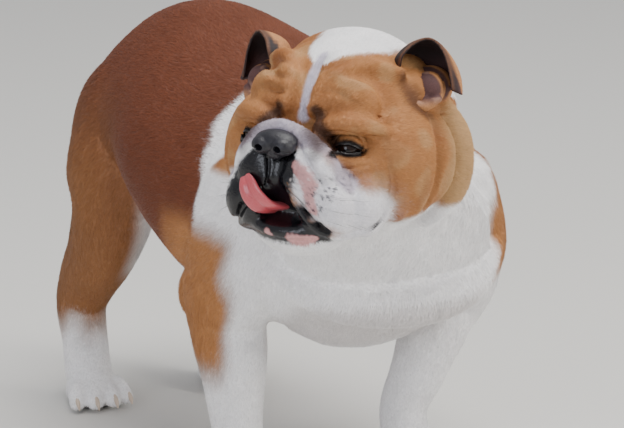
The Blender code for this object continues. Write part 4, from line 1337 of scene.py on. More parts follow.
def eye_material():
    """Rings of dark brown around the pupil, under a wet surface."""
    made, tree, shader = material("dark_brown_eye", 0.06)
    ring = add(tree, "ShaderNodeAttribute", {"attribute_name": "ring"}).outputs["Fac"]
    ramp_node = add(tree, "ShaderNodeValToRGB", _0=ring)
    stops = ramp_node.color_ramp.elements
    stops[0].position, stops[0].color = 0.0, bright(linear("#090505"))
    stops[1].position, stops[1].color = 1.0, bright(linear("#3a2622"))
    for place, code in ((0.20, "#090505"), (0.25, "#24120a"), (0.50, "#130905"), (0.58, "#2e1d18")):
        stop = stops.new(place)
        stop.color = bright(linear(code))
    tree.links.new(ramp_node.outputs["Color"], shader.inputs["Base Color"])
    shader.inputs["Specular IOR Level"].default_value = 0.4
    return made


eye_skin = eye_material()
for side, word in ((1, "left"), (-1, "right")):
    gaze = mirrored(side, GAZE)
    shape = bmesh.new()
    bmesh.ops.create_uvsphere(shape, u_segments=48, v_segments=32, radius=EYE_RADIUS)
    for vert in shape.verts:
        facing = vert.co.normalized().dot(gaze)
        vert.co *= 1 + WINDOW_BULGE * max(0.0, (facing - WINDOW) / (1 - WINDOW))
    mesh = bpy.data.meshes.new("eyeball")
    shape.to_mesh(mesh)
    shape.free()
    angles = [math.acos(max(-1, min(1, v.co.normalized().dot(gaze)))) / math.pi * 2 for v in mesh.vertices]
    set_values(mesh, "ring", np.array(angles))
    mesh.transform(HEAD_PLACE @ Matrix.Translation(mirrored(side, EYE)))
    mesh.materials.append(eye_skin)
    ball = placed(link("eyeball_" + word, mesh))
    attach(ball, "root")
    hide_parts("eye_" + word)
print("two eyeballs of radius", EYE_RADIUS)

# %% [markdown]
# ## Nose leather
#
# The nose is a pad of bare, pebbled leather with two comma-shaped nostrils. It is melted from a few
# lumps like the skin, and the nostrils are cut by a Boolean, as a modeller pushes a tool into clay.

# %% Nose
def nose_material():
    """Black leather with fine pebbles."""
    made, tree, shader = material("nose_leather", 0.42)
    place = add(tree, "ShaderNodeTexCoord").outputs["Object"]
    # pebbles about 1.1 mm across
    pebble = add(tree, "ShaderNodeTexVoronoi", Vector=place, Scale=900.0).outputs["Distance"]
    shade = add(tree, "ShaderNodeValToRGB", _0=pebble)
    shade.color_ramp.elements[0].color = bright(linear("#26242d"))
    shade.color_ramp.elements[1].color = bright(linear("#0c0b0f"))
    tree.links.new(shade.outputs["Color"], shader.inputs["Base Color"])
    relief = add(tree, "ShaderNodeBump", {"invert": True}, Strength=0.5, Distance=0.0004, Height=pebble)
    tree.links.new(relief.outputs["Normal"], shader.inputs["Normal"])
    return made


NOSE_VOXEL, NOSE_ROUNDS = 0.0008, 4
pad_place = HEAD_PLACE @ Matrix.Translation(NOSE)
nose = melted(
    "nose_leather",
    [
        lump((0, 0.004, 0.001), (0.0205, 0.0120, 0.0100), (14, 0, 0)),
        lump((0.0096, 0.000, -0.002), (0.0108, 0.0110, 0.0086)),
        lump((-0.0096, 0.000, -0.002), (0.0108, 0.0110, 0.0086)),
        lump((0, 0.004, -0.009), (0.0080, 0.0080, 0.0060)),
    ],
    NOSE_VOXEL,
    NOSE_ROUNDS,
)
# x, y, z, half width and half depth from the nose's own centre
NOSTRIL_HOLE = [(0.0078, -0.0150, -0.0032, 0.0040, 0.0032), (0.0094, -0.0090, -0.0032, 0.0036, 0.0030),
                (0.0090, -0.0030, -0.0020, 0.0020, 0.0020)]
NOSTRIL_SLIT = [(0.0115, -0.0120, -0.0045, 0.0022, 0.0016), (0.0155, -0.0085, -0.0058, 0.0018, 0.0014),
                (0.0190, -0.0030, -0.0064, 0.0010, 0.0010)]
NOSE_GROOVE = [(0, -0.016, 0.012, 0.0016), (0, -0.014, -0.002, 0.0016), (0, -0.010, -0.018, 0.0016)]
GROOVE_DEPTH = 0.0011
tools = bpy.data.collections.new("nose tools")
for side in (1, -1):
    for nostril in (NOSTRIL_HOLE, NOSTRIL_SLIT):
        knots = [(side * k[0], *k[1:]) for k in nostril]
        tools.objects.link(bpy.data.objects.new("nostril", limb(knots)))
cut = nose.modifiers.new("nostrils", "BOOLEAN")
cut.operand_type = "COLLECTION"
cut.collection = tools
cut.solver = "EXACT"
baked(nose)
for tool in list(tools.objects):
    bpy.data.objects.remove(tool)
bpy.data.collections.remove(tools)
pad_points = places(nose.data)
groove, _ = stroke_field(pad_points, NOSE_GROOVE)
pad_points += normals_of(nose.data) * (-GROOVE_DEPTH * np.exp(-groove * groove))[:, None]
nose.data.vertices.foreach_set("co", pad_points.astype(np.float32).ravel())
nose.data.transform(pad_place)
nose.data.materials.clear()
nose.data.materials.append(nose_material())
placed(nose)
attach(nose, "root")
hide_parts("nose")
print("nose leather:", len(nose.data.polygons), "faces")

# %% [markdown]
# ## Tongue
#
# The tongue comes out on the right and curls up over the lip. Its section is a flat oval with a
# groove along the middle, carried along a bent line.

# %% Tongue
def tongue_material():
    """Wet pink flesh with small bumps."""
    made, tree, shader = material("wet_tongue", 0.3)
    place = add(tree, "ShaderNodeTexCoord").outputs["Object"]
    # taste buds about 0.7 mm apart
    buds = add(tree, "ShaderNodeTexNoise", Vector=place, Scale=1400.0, Detail=2.0).outputs["Fac"]
    shade = add(tree, "ShaderNodeValToRGB", _0=buds)
    shade.color_ramp.elements[0].color = bright(linear("#a82f3c"))
    shade.color_ramp.elements[1].color = bright(linear("#dc6a70"))
    tree.links.new(shade.outputs["Color"], shader.inputs["Base Color"])
    bump = add(tree, "ShaderNodeBump", Strength=0.35, Distance=0.0003, Height=buds).outputs["Normal"]
    tree.links.new(bump, shader.inputs["Normal"])
    shader.inputs["Subsurface Weight"].default_value = 0.2
    shader.inputs["Subsurface Radius"].default_value = (0.004, 0.0015, 0.001)
    shader.inputs["Coat Weight"].default_value = 0.4
    shader.inputs["Coat Roughness"].default_value = 0.15
    return made


TONGUE_KNOTS = [
    (-0.005, -0.082, -0.054, 0.0120, 0.0042),
    (-0.006, -0.104, -0.052, 0.0120, 0.0044),
    (-0.010, -0.1175, -0.048, 0.0115, 0.0044),
    (-0.017, -0.1225, -0.040, 0.0105, 0.0040),
    (-0.0225, -0.1225, -0.031, 0.0088, 0.0036),
    (-0.027, -0.1195, -0.0250, 0.0050, 0.0024),
]
TONGUE_SIDES = 32
TONGUE_TILT = Vector((1, 0, 0.35))
# the groove's depth and width, and how much the edges curl up, as shares of the tongue's own
GROOVE_SHARE, GROOVE_WIDE, EDGE_CURL = 0.55, 0.22, 0.45
path = smooth_path(TONGUE_KNOTS, 7)
runs = np.gradient(path[:, :3], axis=0)
points = []
for centre, direction, (wide, thick) in zip(path[:, :3], runs, path[:, 3:]):
    forward = Vector(direction).normalized()
    across = (TONGUE_TILT - forward * forward.dot(TONGUE_TILT)).normalized()
    up = across.cross(forward)
    for k in range(TONGUE_SIDES):
        a = 2 * math.pi * k / TONGUE_SIDES
        over, high = math.cos(a), math.sin(a)
        high -= GROOVE_SHARE * math.exp(-((over / GROOVE_WIDE) ** 2)) * (1 if high > 0 else 0)
        curl = EDGE_CURL * over * over
        points.append(Vector(centre) + across * wide * over + up * thick * (high + curl))
count = len(path)
faces = tube_faces(count, TONGUE_SIDES)
faces += [tuple(range(TONGUE_SIDES)), tuple((count - 1) * TONGUE_SIDES + k for k in range(TONGUE_SIDES))]
mesh = outward(plain_mesh("tongue_flesh", points, faces))
mesh.transform(HEAD_PLACE)
mesh.materials.append(tongue_material())
tongue = placed(link("tongue_flesh", mesh))
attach(tongue, "root")
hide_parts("tongue")
print("tongue:", len(mesh.polygons), "faces")

# %% [markdown]
# ## Ears
#
# A rose ear is a thin hood that folds over at the top and shows the ridges of its cup. The hood is
# a curved sheet between two lines, its rim and the line where it meets the skull.

# %% Ear shape
EAR_RIM = (
    (-0.15, -0.21, 0.26),
    (-0.09, -0.23, 0.49),
    (0.06, -0.09, 0.70),
    (0.28, 0.04, 0.80),
    (0.47, 0.13, 0.66),
    (0.60, 0.17, 0.34),
    (0.68, 0.21, -0.13),
)
EAR_BACK = (
    (-0.26, 0.09, -0.04),
    (-0.19, 0.26, 0.13),
    (-0.11, 0.55, 0.19),
    (0.06, 0.72, 0.04),
    (0.26, 0.68, -0.11),
    (0.47, 0.51, -0.15),
    (0.64, 0.30, -0.16),
)
EAR_RIDGES = (
    ((-0.17, -0.21, -0.09, 0.0030), (0.04, -0.30, -0.32, 0.0048),
     (0.30, -0.17, -0.43, 0.0052), (0.51, 0.04, -0.30, 0.0034)),
    ((0.04, -0.17, -0.26, 0.0034), (0.11, -0.04, -0.04, 0.0036), (0.21, 0.13, 0.09, 0.0030)),
    ((0.28, -0.06, -0.30, 0.0034), (0.38, 0.09, -0.13, 0.0036), (0.40, 0.26, 0.00, 0.0030)),
)
EAR_HEART = Vector((0.30, 0.10, 0.05))
EAR_BULGE, EAR_THICK = 0.010, 0.0024
EAR_ACROSS = 9
EAR_VOXEL, EAR_ROUNDS = 0.0009, 3


def ear_masses(side, thick):
    """The hood of a small rose ear, folded over at the top, and the ridges in its cup."""
    root = mirrored(side, EAR_ROOT) + EAR_DROOP[side]

    def at(share):
        return root + mirrored(side, Vector(share[:3]) * EAR_LENGTH)

    rim = smooth_path([tuple(at(k)) for k in EAR_RIM], 4)
    back = smooth_path([tuple(at(k)) for k in EAR_BACK], 4)
    heart = np.array(at(EAR_HEART))
    middle = 0.45 * rim + 0.55 * back
    away = middle - heart
    away /= np.linalg.norm(away, axis=1)[:, None]
    bend = middle + away * EAR_BULGE * 2
    s = np.linspace(0, 1, EAR_ACROSS)[None, :, None]
    sheet = (1 - s) ** 2 * rim[:, None] + 2 * s * (1 - s) * bend[:, None] + s**2 * back[:, None]
    normal = np.cross(np.gradient(sheet, axis=0), np.gradient(sheet, axis=1))
    normal /= np.linalg.norm(normal, axis=2)[:, :, None] + 1e-12
    rows = len(sheet)
    total = rows * EAR_ACROSS
    upper, under = sheet + normal * thick / 2, sheet - normal * thick / 2
    points = np.concatenate([upper.reshape(-1, 3), under.reshape(-1, 3)])

    def index(r, k):
        return r * EAR_ACROSS + k

    faces = []
    for r in range(rows - 1):
        for k in range(EAR_ACROSS - 1):
            a, b, c, d = index(r, k), index(r, k + 1), index(r + 1, k + 1), index(r + 1, k)
            faces += [(a, b, c), (a, c, d)]
            faces += [(c + total, b + total, a + total), (d + total, c + total, a + total)]
        for k in (0, EAR_ACROSS - 1):
            a, b = index(r, k), index(r + 1, k)
            faces.append((a, b, b + total, a + total))
    for k in range(EAR_ACROSS - 1):
        for r in (0, rows - 1):
            a, b = index(r, k), index(r, k + 1)
            faces.append((a, b, b + total, a + total))
    hood = outward(mesh_from(points.tolist(), faces))
    masses = [
        hood,
        lump(at((0.14, 0.42, -0.16)), (0.020, 0.015, 0.018)),
        lump(at((0.22, 0.16, -0.16)), (0.015, 0.012, 0.015)),
    ]
    for ridge in EAR_RIDGES:
        masses.append(fold([(*at(k), k[3]) for k in ridge]))
    for mass in masses:
        mass.transform(HEAD_PLACE)
    return masses


RIM_PAINT = 0.0075
EAR_HOLLOW_SHADE = linear("#231516")
EAR_PINK = linear("#50302e")
EAR_PALE = linear("#8c6858")


def ear_colours(points, normals, side):
    """Tan behind and brown at the rim; inside, pink and pale on the ridges, with painted shade in the hollow
    and under the rim.
    """
    root = mirrored(side, EAR_ROOT) + EAR_DROOP[side]
    heart = root + mirrored(side, EAR_HEART) * EAR_LENGTH
    out = ((points - np.array(heart)) * normals).sum(1) > 0
    rim = [(*(root + mirrored(side, Vector(k)) * EAR_LENGTH), RIM_PAINT) for k in EAR_RIM]
    near_rim, _ = stroke_field(points, rim)
    colour = np.tile(FACE_TAN, (len(points), 1))
    colour = blend(colour, EAR_BROWN, 0.9 * (1 - ramp(near_rim, 0.5, 1.3)))
    high = points[:, 2] - root[2]
    # painted shade: the cup darkens towards its top, under the fold of the hood, and under the rim
    inside = blend(np.tile(EAR_PINK, (len(points), 1)), EAR_HOLLOW_SHADE, ramp(high, -0.002, 0.022))
    inside = blend(inside, EAR_HOLLOW_SHADE, 0.8 * (1 - ramp(near_rim, 0.6, 1.4)))
    ridges = np.full(len(points), 9.0)
    for ridge in EAR_RIDGES:
        knots = [(*(root + mirrored(side, Vector(k[:3])) * EAR_LENGTH), k[3] * 1.5) for k in ridge]
        ridges = np.minimum(ridges, stroke_field(points, knots)[0])
    front = 1 - ramp(ridges, 0.6, 1.1)
    pale = front * ramp(wavy(points, 0.012, 2), -0.2, 0.6) * (1 - ramp(high, 0.012, 0.03))
    inside = blend(inside, EAR_PALE, pale)
    forward = ramp(-normals[:, 1], 0.10, 0.40) * ramp(near_rim, 0.25, 0.6)
    colour = np.where((out & (front < 0.5))[:, None], blend(colour, inside, forward), inside)
    return blend(colour, FACE_TAN, 1 - ramp(high, -0.022, -0.012))


def ear_material():
    """Very short hair in the painted colour."""
    made, tree, shader = material("thin_ear", 0.7)
    place = add(tree, "ShaderNodeTexCoord").outputs["Object"]
    colour = add(tree, "ShaderNodeAttribute", {"attribute_name": "coat"}).outputs["Color"]
    # fine hair, about 1 mm from tuft to tuft
    grain = add(tree, "ShaderNodeTexNoise", Vector=place, Scale=900.0, Detail=3.0).outputs["Fac"]
    shade = add(tree, "ShaderNodeMapRange", _0=grain, _1=0.3, _2=0.7, _3=0.75, _4=1.2).outputs[0]
    tinted = add(tree, "ShaderNodeVectorMath", {"operation": "SCALE"}, _0=colour, _3=shade).outputs[0]
    tree.links.new(tinted, shader.inputs["Base Color"])
    bump = add(tree, "ShaderNodeBump", Strength=0.6, Distance=0.0006, Height=grain).outputs["Normal"]
    tree.links.new(bump, shader.inputs["Normal"])
    return made


ear_skin = ear_material()
for side, word in ((1, "left"), (-1, "right")):
    ear = melted("ear_flap_" + word, ear_masses(side, EAR_THICK), EAR_VOXEL, EAR_ROUNDS)
    local = head_places(places(ear.data))
    turned = normals_of(ear.data) @ INTO_HEAD[:3, :3].T
    set_colours(ear.data, ear_colours(local, turned, side))
    ear.data.materials.clear()
    ear.data.materials.append(ear_skin)
    placed(ear)
    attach(ear, "root")
    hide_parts("ear_" + word)
    print(ear.name, len(ear.data.polygons), "faces")

# %% [markdown]
# ## Claws and whiskers
#
# Claws and whiskers repeat, so each kind is one shape set on many points by Geometry Nodes. Each
# point carries the way its copy points and how large it is.

# %% Copies on points
def spread(name, shape, spots, ways, sizes, surface):
    """Copies of the shape, which points along +z, on the spots, each turned its own way."""
    mesh = plain_mesh(name, spots, [])
    way = mesh.attributes.new("way", "FLOAT_VECTOR", "POINT")
    way.data.foreach_set("vector", np.array(ways, np.float32).ravel())
    set_values(mesh, "size", np.array(sizes))
    item = link(name, mesh)
    source = link(name + "_shape", shape)
    tree = bpy.data.node_groups.new(name, "GeometryNodeTree")
    tree.interface.new_socket("Points", in_out="INPUT", socket_type="NodeSocketGeometry")
    shape_socket = tree.interface.new_socket("Shape", in_out="INPUT", socket_type="NodeSocketObject")
    tree.interface.new_socket("Copies", in_out="OUTPUT", socket_type="NodeSocketGeometry")
    start = add(tree, "NodeGroupInput")
    named = "GeometryNodeInputNamedAttribute"
    way_of = add(tree, named, {"data_type": "FLOAT_VECTOR"}, Name="way").outputs[0]
    size_of = add(tree, named, {"data_type": "FLOAT"}, Name="size").outputs[0]
    turn = add(tree, "FunctionNodeAlignRotationToVector", {"axis": "Z"}, Vector=way_of).outputs[0]
    info = add(tree, "GeometryNodeObjectInfo", Object=start.outputs["Shape"]).outputs["Geometry"]
    seats = start.outputs["Points"]
    many = "GeometryNodeInstanceOnPoints"
    copies = add(tree, many, Points=seats, Instance=info, Rotation=turn, Scale=size_of).outputs[0]
    real = add(tree, "GeometryNodeRealizeInstances", Geometry=copies).outputs[0]
    dressed = add(tree, "GeometryNodeSetMaterial", Geometry=real, Material=surface).outputs[0]
    end = add(tree, "NodeGroupOutput")
    tree.links.new(dressed, end.inputs[0])
    made = item.modifiers.new("copies", "NODES")
    made.node_group = tree
    made[shape_socket.identifier] = source
    baked(item)
    bpy.data.objects.remove(source)
    return item


def claw_shape():
    """One blunt, curved claw: unit length along z, bent towards -y."""
    return limb(
        [(0, 0.10, -0.55, 0.30, 0.34), (0, 0.02, 0.05, 0.27, 0.33), (0, -0.14, 0.55, 0.18, 0.23),
         (0, -0.42, 0.92, 0.07, 0.09)],
        steps=4,
        sides=14,
        dome=(60, 30),
    )


claw_surface, _, claw_shader = material("horn_claw", 0.35)
claw_shader.inputs["Base Color"].default_value = bright(linear("#cdb9a6"))
whisker_surface, _, whisker_shader = material("whisker", 0.4)
whisker_shader.inputs["Base Color"].default_value = bright(linear("#2b2422"))

# %% [markdown]
# ## Claws
#
# The claws are blunt horn, one to a toe, worn short by walking. The same function that placed the
# toes gives their places, so each claw leaves its own toe.

# %% Claws
# a claw's length, how far it stands out of and below the toe's tip, and how steeply it points down
CLAW_LENGTH, CLAW_OUT, CLAW_BELOW, CLAW_DROOP = 0.0105, 0.0045, 0.0025, -0.42
spots, ways, sizes = [], [], []
for side in (1, -1):
    for paw, size in ((Vector(FORE_PAWS[side]), 1.0), (Vector(HIND_PAWS[side]), 0.9)):
        for slot in TOES:
            start, out, reach = toe_frame(paw, size, slot)
            below = Vector((0, 0, CLAW_BELOW * size))
            spots.append(start + out * (reach + CLAW_OUT * size) - below + SLIDE)
            ways.append((out + Vector((0, 0, CLAW_DROOP))).normalized())
            sizes.append(CLAW_LENGTH * size)
claws = spread("claws", claw_shape(), spots, ways, sizes, claw_surface)
claws.data.shade_smooth()
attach(claws, "root")
print(len(spots), "claws")

# %% [markdown]
# ## Whiskers
#
# Whiskers are few, stiff and dark, and grow in rows from the flews. A ray from in front of each place
# in the row finds the skin there, and the whisker leans back and down from it.

# %% Whiskers
dice = np.random.default_rng(11)
WHISKER_SHORT, WHISKER_MORE = 0.012, 0.011
WHISKER_ROWS, WHISKERS_IN_ROW = 3, 6
# metres in the head's frame: the first whisker's place, the steps along a row, and those between rows
FIRST_OUT, FIRST_UP = 0.034, -0.030
STEP_OUT, STEP_DOWN = 0.006, 0.002
ROW_OUT, ROW_DOWN = 0.002, 0.011
RAY_FROM = -0.16


def whisker_shape():
    """One stiff hair: unit length along z, with a slight curve."""
    return limb([(0, 0, -0.04, 0.006, 0.006), (0, 0.01, 0.4, 0.0045, 0.0045), (0, 0.06, 0.75, 0.003, 0.003),
                 (0, 0.13, 1.0, 0.001, 0.001)], steps=2, sides=5, dome=(45,))


spots, ways, sizes = [], [], []
for side in (1, -1):
    for row in range(WHISKER_ROWS):
        for k in range(WHISKERS_IN_ROW):
            x = FIRST_OUT + STEP_OUT * k + ROW_OUT * row
            z = FIRST_UP - ROW_DOWN * row - STEP_DOWN * k
            seat = HEAD_PLACE @ Vector((side * x, RAY_FROM, z)) + SLIDE
            aim = HEAD_PLACE.to_3x3() @ Vector((0, 1, 0))
            hit, where, normal, _ = skin.ray_cast(seat, aim)
            if not hit:
                continue
            lean = HEAD_PLACE.to_3x3() @ Vector((side * 0.7, 0.75, -0.35 + 0.2 * dice.random()))
            spots.append(where)
            ways.append((normal * 0.45 + lean).normalized())
            sizes.append(WHISKER_SHORT + WHISKER_MORE * dice.random())
whiskers = spread("whiskers", whisker_shape(), spots, ways, sizes, whisker_surface)
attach(whiskers, "root")
print(len(spots), "whiskers")

# %% [markdown]
# ## Coat
#
# The coat of a bulldog is short, flat and fine. Each tuft is a narrow leaf of three triangles that
# leaves the skin at a low angle and lies along the way the hair grows: back along the body, down
# the legs, and away from the nose on the head. Its colour is that of the skin at its root, with
# painted shade at the root of the leaf and painted light at its tip.

# %% Unwrap the skin
bpy.context.view_layer.objects.active = skin
skin.select_set(True)
bpy.ops.object.mode_set(mode="EDIT")
bpy.ops.mesh.select_all(action="SELECT")
bpy.ops.uv.smart_project(angle_limit=math.radians(66), island_margin=0.002)
bpy.ops.object.mode_set(mode="OBJECT")
skin.data.uv_layers[0].name = "OFBake"
skin.select_set(False)
print("unwrapped the skin")

# %% [markdown]
# ## The way the hair grows
#
# Hair lies in streams: back along the trunk, down the legs and chest, and away from the nose on the
# head. Combing by hand would be lost with every change of the body. Blending a few directions by
# place gives the same streams on any shape.

# %% The way the hair grows
TUFTS = 475000
TUFTS_IN_PIECE = 60000
PATCH = 0.003


def unit(vectors):
    """The vectors at length 1."""
    return vectors / (np.linalg.norm(vectors, axis=1)[:, None] + 1e-12)


def head_share(local, start, end):
    """1 on the head, falling to 0 between two distances behind its centre."""
    return (1 - ramp(local[:, 1], start, end)) * ramp(local[:, 2], -0.10, -0.08)


# which way the hair points on each part, and where on the head it starts from
BACKWARD, DOWN_LEG = [0.0, 1.0, -0.30], np.array([0.0, 0.15, -1.0])
DOWN_THIGH, DOWN_CHEST = np.array([0.0, 0.5, -0.9]), np.array([0.0, 0.35, -1.0])
HAIR_START = np.array([0.0, -0.125, 0.012])
# slow eddies turn the hair by up to about 16 degrees
EDDY = 0.28


def growth(points, normals):
    """The way the hair lies at each point, along the skin."""
    x, y, z = points.T
    way = np.tile(BACKWARD, (len(points), 1))
    leg = (1 - ramp(z, 0.17, 0.26)) * np.maximum(ramp(-y, 0.08, 0.12), ramp(y, 0.05, 0.12))
    way = way * (1 - leg)[:, None] + DOWN_LEG * leg[:, None]
    thigh = ramp(y, 0.06, 0.14) * (1 - ramp(z, 0.26, 0.36)) * (1 - leg)
    way = way * (1 - thigh)[:, None] + DOWN_THIGH * thigh[:, None]
    chest = ramp(-y, 0.14, 0.21) * (1 - leg)
    way = way * (1 - chest)[:, None] + DOWN_CHEST * chest[:, None]
    local = head_places(points)
    head_way = local - HAIR_START
    head_way[:, 1] += 0.02 + 0.5 * np.maximum(local[:, 1], 0)
    down = 1 - ramp(local[:, 2], -0.03, 0.03)
    head_way[:, 2] -= 0.05 * down * ramp(local[:, 1], -0.08, 0.0)
    head_way = unit(head_way) @ OUT_OF_HEAD[:3, :3].T
    head = head_share(local, 0.035, 0.065)
    way = unit(way) * (1 - head)[:, None] + head_way * head[:, None]
    side = np.cross(normals, way)
    way = way + side * (EDDY * wavy(points, 0.09, 5))[:, None]
    way -= normals * (way * normals).sum(1)[:, None]
    return unit(way)


# metres: the hair of the back, how much shorter it is on legs and feet, and how much longer on the rump
BACK_HAIR, LEG_LESS, PAW_LESS, RUMP_MORE = 0.0070, 0.0018, 0.0014, 0.0015
HEAD_HAIR, FACE_LESS = 0.0050, 0.0018
TUFT_WIDE, FACE_NARROWER, HEAD_NARROWER = 0.00064, 0.00014, 0.00006


def lengths(points):
    """How long the hair is, in metres, and how wide a tuft of it is."""
    y, z = points[:, 1], points[:, 2]
    local = head_places(points)
    head = head_share(local, 0.03, 0.06)
    long = BACK_HAIR - LEG_LESS * (1 - ramp(z, 0.10, 0.20))
    long = long - PAW_LESS * (1 - ramp(z, 0.03, 0.07))
    long = long + RUMP_MORE * ramp(y, 0.16, 0.22) * ramp(z, 0.14, 0.2)
    front = ramp(-local[:, 1], 0.04, 0.09)
    long = long * (1 - head) + (HEAD_HAIR - FACE_LESS * front) * head
    wide = TUFT_WIDE - FACE_NARROWER * head * front - HEAD_NARROWER * head
    wide = wide * 1.0
    return long, wide

# %% [markdown]
# ## Roots
#
# Roots are spread by the area of the skin, closer together on the head, where the hair is finer and
# the eye looks first. Lips, lid rims, nose and soles are bare, so they get none.

# %% Sample the roots
# how much closer the tufts stand on the head, the height of the bare soles, the bare rim of the lids
HEAD_EXTRA, SOLE, LID_RIM = 1.6, 0.006, 0.0014
seed = np.random.default_rng(2024)
mesh = skin.data
mesh.calc_loop_triangles()
corners = np.empty(len(mesh.loop_triangles) * 3, np.int32)
mesh.loop_triangles.foreach_get("vertices", corners)
corners = corners.reshape(-1, 3)
loops = np.empty(len(mesh.loop_triangles) * 3, np.int32)
mesh.loop_triangles.foreach_get("loops", loops)
loops = loops.reshape(-1, 3)
flat = np.empty(len(mesh.loops) * 2, np.float32)
mesh.uv_layers["OFBake"].data.foreach_get("uv", flat)
flat = flat.reshape(-1, 2)
dog = places(mesh) - np.array(SLIDE)
skin_normals = normals_of(mesh)
a, b, c = (dog[corners[:, k]] for k in range(3))
area = np.linalg.norm(np.cross(b - a, c - a), axis=1) / 2
middle = (a + b + c) / 3
local = head_places(middle)
weight = area * (1 + HEAD_EXTRA * head_share(local, 0.03, 0.07)) * np.where(middle[:, 2] < SOLE, 0, 1)
weight *= 1 - bareness(middle)
for side in (1, -1):
    spot, outside = slit(local, side)
    weight[(outside < LID_RIM) & (np.abs(spot[:, 2]) < 0.03)] = 0
weight[np.linalg.norm((local - np.array(NOSE)) / [0.024, 0.020, 0.0145], axis=1) < 1] = 0
chosen = np.sort(seed.choice(len(area), TUFTS, p=weight / weight.sum()))
u, v = seed.random((2, TUFTS))
fold_over = u + v > 1
u[fold_over], v[fold_over] = 1 - u[fold_over], 1 - v[fold_over]
share = np.stack([1 - u - v, u, v], 1)


def mixed(values):
    """Values at the three corners of each chosen triangle, mixed at its root."""
    return (values * share[:, :, None]).sum(1)


root = mixed(dog[corners[chosen]])
up = unit(mixed(skin_normals[corners[chosen]]))
root_uv = mixed(flat[loops[chosen]])
tone = markings(root)
print(TUFTS, "roots over", round(float(area.sum()), 3), "square metres")

# %% [markdown]
# ## Tufts
#
# Real hair is far finer than anything that can be modelled one by one. A tuft stands for a few dozen
# hairs, and its length, turn and lean vary, so that no row of them shows. Plain arrays build all the
# tufts at once, which a hair system can't do here, as only solid mesh is kept.

# %% Grow the tufts
# how much neighbours differ in turn, length, lean, shade and shine
TURN_SPREAD = 0.16
LONG_LOW, LONG_HIGH = 0.75, 1.15
LEAN_LOW, LEAN_HIGH = 0.14, 0.26
TONE_LOW, TONE_HIGH = 0.92, 1.07
SHINE_SPREAD, SHINE_BACK = 0.14, 0.10
# the leaf of a tuft: how deep it is rooted, where it bends, how high bend and tip stand, and its width there
ROOT_DEPTH, FLOOR_GAP = 0.0004, 0.0006
BEND_AT, BEND_RISE, TIP_RISE = 0.45, 0.85, 0.62
BEND_SWAY, BEND_WIDE = 0.3, 0.8
GATHER = 0.10
# painted shade at the root of each tuft and painted light at its tip: the share of its colour at each of its
# five points
LEAF_ROOT_SHADE_TIP_LIGHT = (0.88, 0.88, 1.0, 1.0, 1.06)
UV_CORNERS = ((-0.4, -0.4), (0.4, -0.4), (-0.4, 0.2), (0.4, 0.2), (0, 0.5))
grow = growth(root, up)
across = np.cross(up, grow)
spin = seed.normal(0, TURN_SPREAD, TUFTS)
grow = unit(grow * np.cos(spin)[:, None] + across * np.sin(spin)[:, None])
across = np.cross(up, grow)
long, wide = lengths(root)
long = long * seed.uniform(LONG_LOW, LONG_HIGH, TUFTS)
lean = seed.uniform(LEAN_LOW, LEAN_HIGH, TUFTS)
# neighbours within about 5 mm lean together
gather = (wavy(root, 0.011, 3) * (GATHER * long))[:, None]
bend = root + grow * (BEND_AT * long)[:, None] + up * (BEND_RISE * lean * 0.5 * long)[:, None]
bend = bend + across * (BEND_SWAY * gather)
tip = root + grow * long[:, None] + up * (lean * TIP_RISE * long)[:, None] + across * gather
base = root - up * ROOT_DEPTH
half = across * (wide / 2)[:, None]
leaf = np.stack([base - half, base + half, bend - half * BEND_WIDE, bend + half * BEND_WIDE, tip], 1)
leaf[:, :, 2] = np.maximum(leaf[:, :, 2], FLOOR_GAP)
normal = unit(up + SHINE_SPREAD * seed.normal(0, 1, (TUFTS, 3)) - SHINE_BACK * grow)
clump = 1 + 0.05 * wavy(root, 0.007, 6) + 0.04 * wavy(root, 0.03, 2)
shade = (clump * seed.uniform(TONE_LOW, TONE_HIGH, TUFTS))[:, None]
tone = tone * shade
leaf_tone_with_painted_shade_and_light = np.stack([tone * share for share in LEAF_ROOT_SHADE_TIP_LIGHT], 1)
leaf_uv = np.stack([root_uv + np.array(o) * PATCH for o in UV_CORNERS], 1)


# five points make a leaf: two at the root, two at the bend, one at the tip
LEAF_POINTS = 5
LEAF_TRIANGLES = np.array([1, 0, 2, 1, 2, 3, 3, 2, 4])


def coat_material():
    """Matt hair that takes the colour of its root."""
    made, tree, shader = material("short_coat", 0.55)
    colour = add(tree, "ShaderNodeAttribute", {"attribute_name": "coat"}).outputs["Color"]
    tree.links.new(colour, shader.inputs["Base Color"])
    shader.inputs["Specular IOR Level"].default_value = 0.2
    return made


coat_surface = coat_material()
order = np.argsort(root[:, 1], kind="stable")
pieces = math.ceil(TUFTS / TUFTS_IN_PIECE)
for number, part in enumerate(np.array_split(order, pieces)):
    count = len(part)
    mesh = bpy.data.meshes.new(f"coat_{number + 1}")
    mesh.vertices.add(count * LEAF_POINTS)
    mesh.vertices.foreach_set("co", (leaf[part] + np.array(SLIDE)).astype(np.float32).ravel())
    index = (np.arange(count)[:, None] * LEAF_POINTS + LEAF_TRIANGLES).astype(np.int32)
    mesh.loops.add(count * 9)
    mesh.loops.foreach_set("vertex_index", index.ravel())
    mesh.polygons.add(count * 3)
    mesh.polygons.foreach_set("loop_start", np.arange(count * 3, dtype=np.int32) * 3)
    mesh.update(calc_edges=True)
    mesh.validate()
    layer = mesh.uv_layers.new(name="OFBake")
    layer.data.foreach_set("uv", leaf_uv[part][:, LEAF_TRIANGLES].astype(np.float32).ravel())
    set_colours(mesh, leaf_tone_with_painted_shade_and_light[part].reshape(-1, 3))
    mesh.polygons.foreach_set("use_smooth", np.ones(count * 3, bool))
    mesh.normals_split_custom_set_from_vertices(np.repeat(normal[part], LEAF_POINTS, axis=0))
    mesh.materials.append(coat_surface)
    tuft = link(f"coat_{number + 1}", mesh)
    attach(tuft, "root")
print(pieces, "pieces of coat")

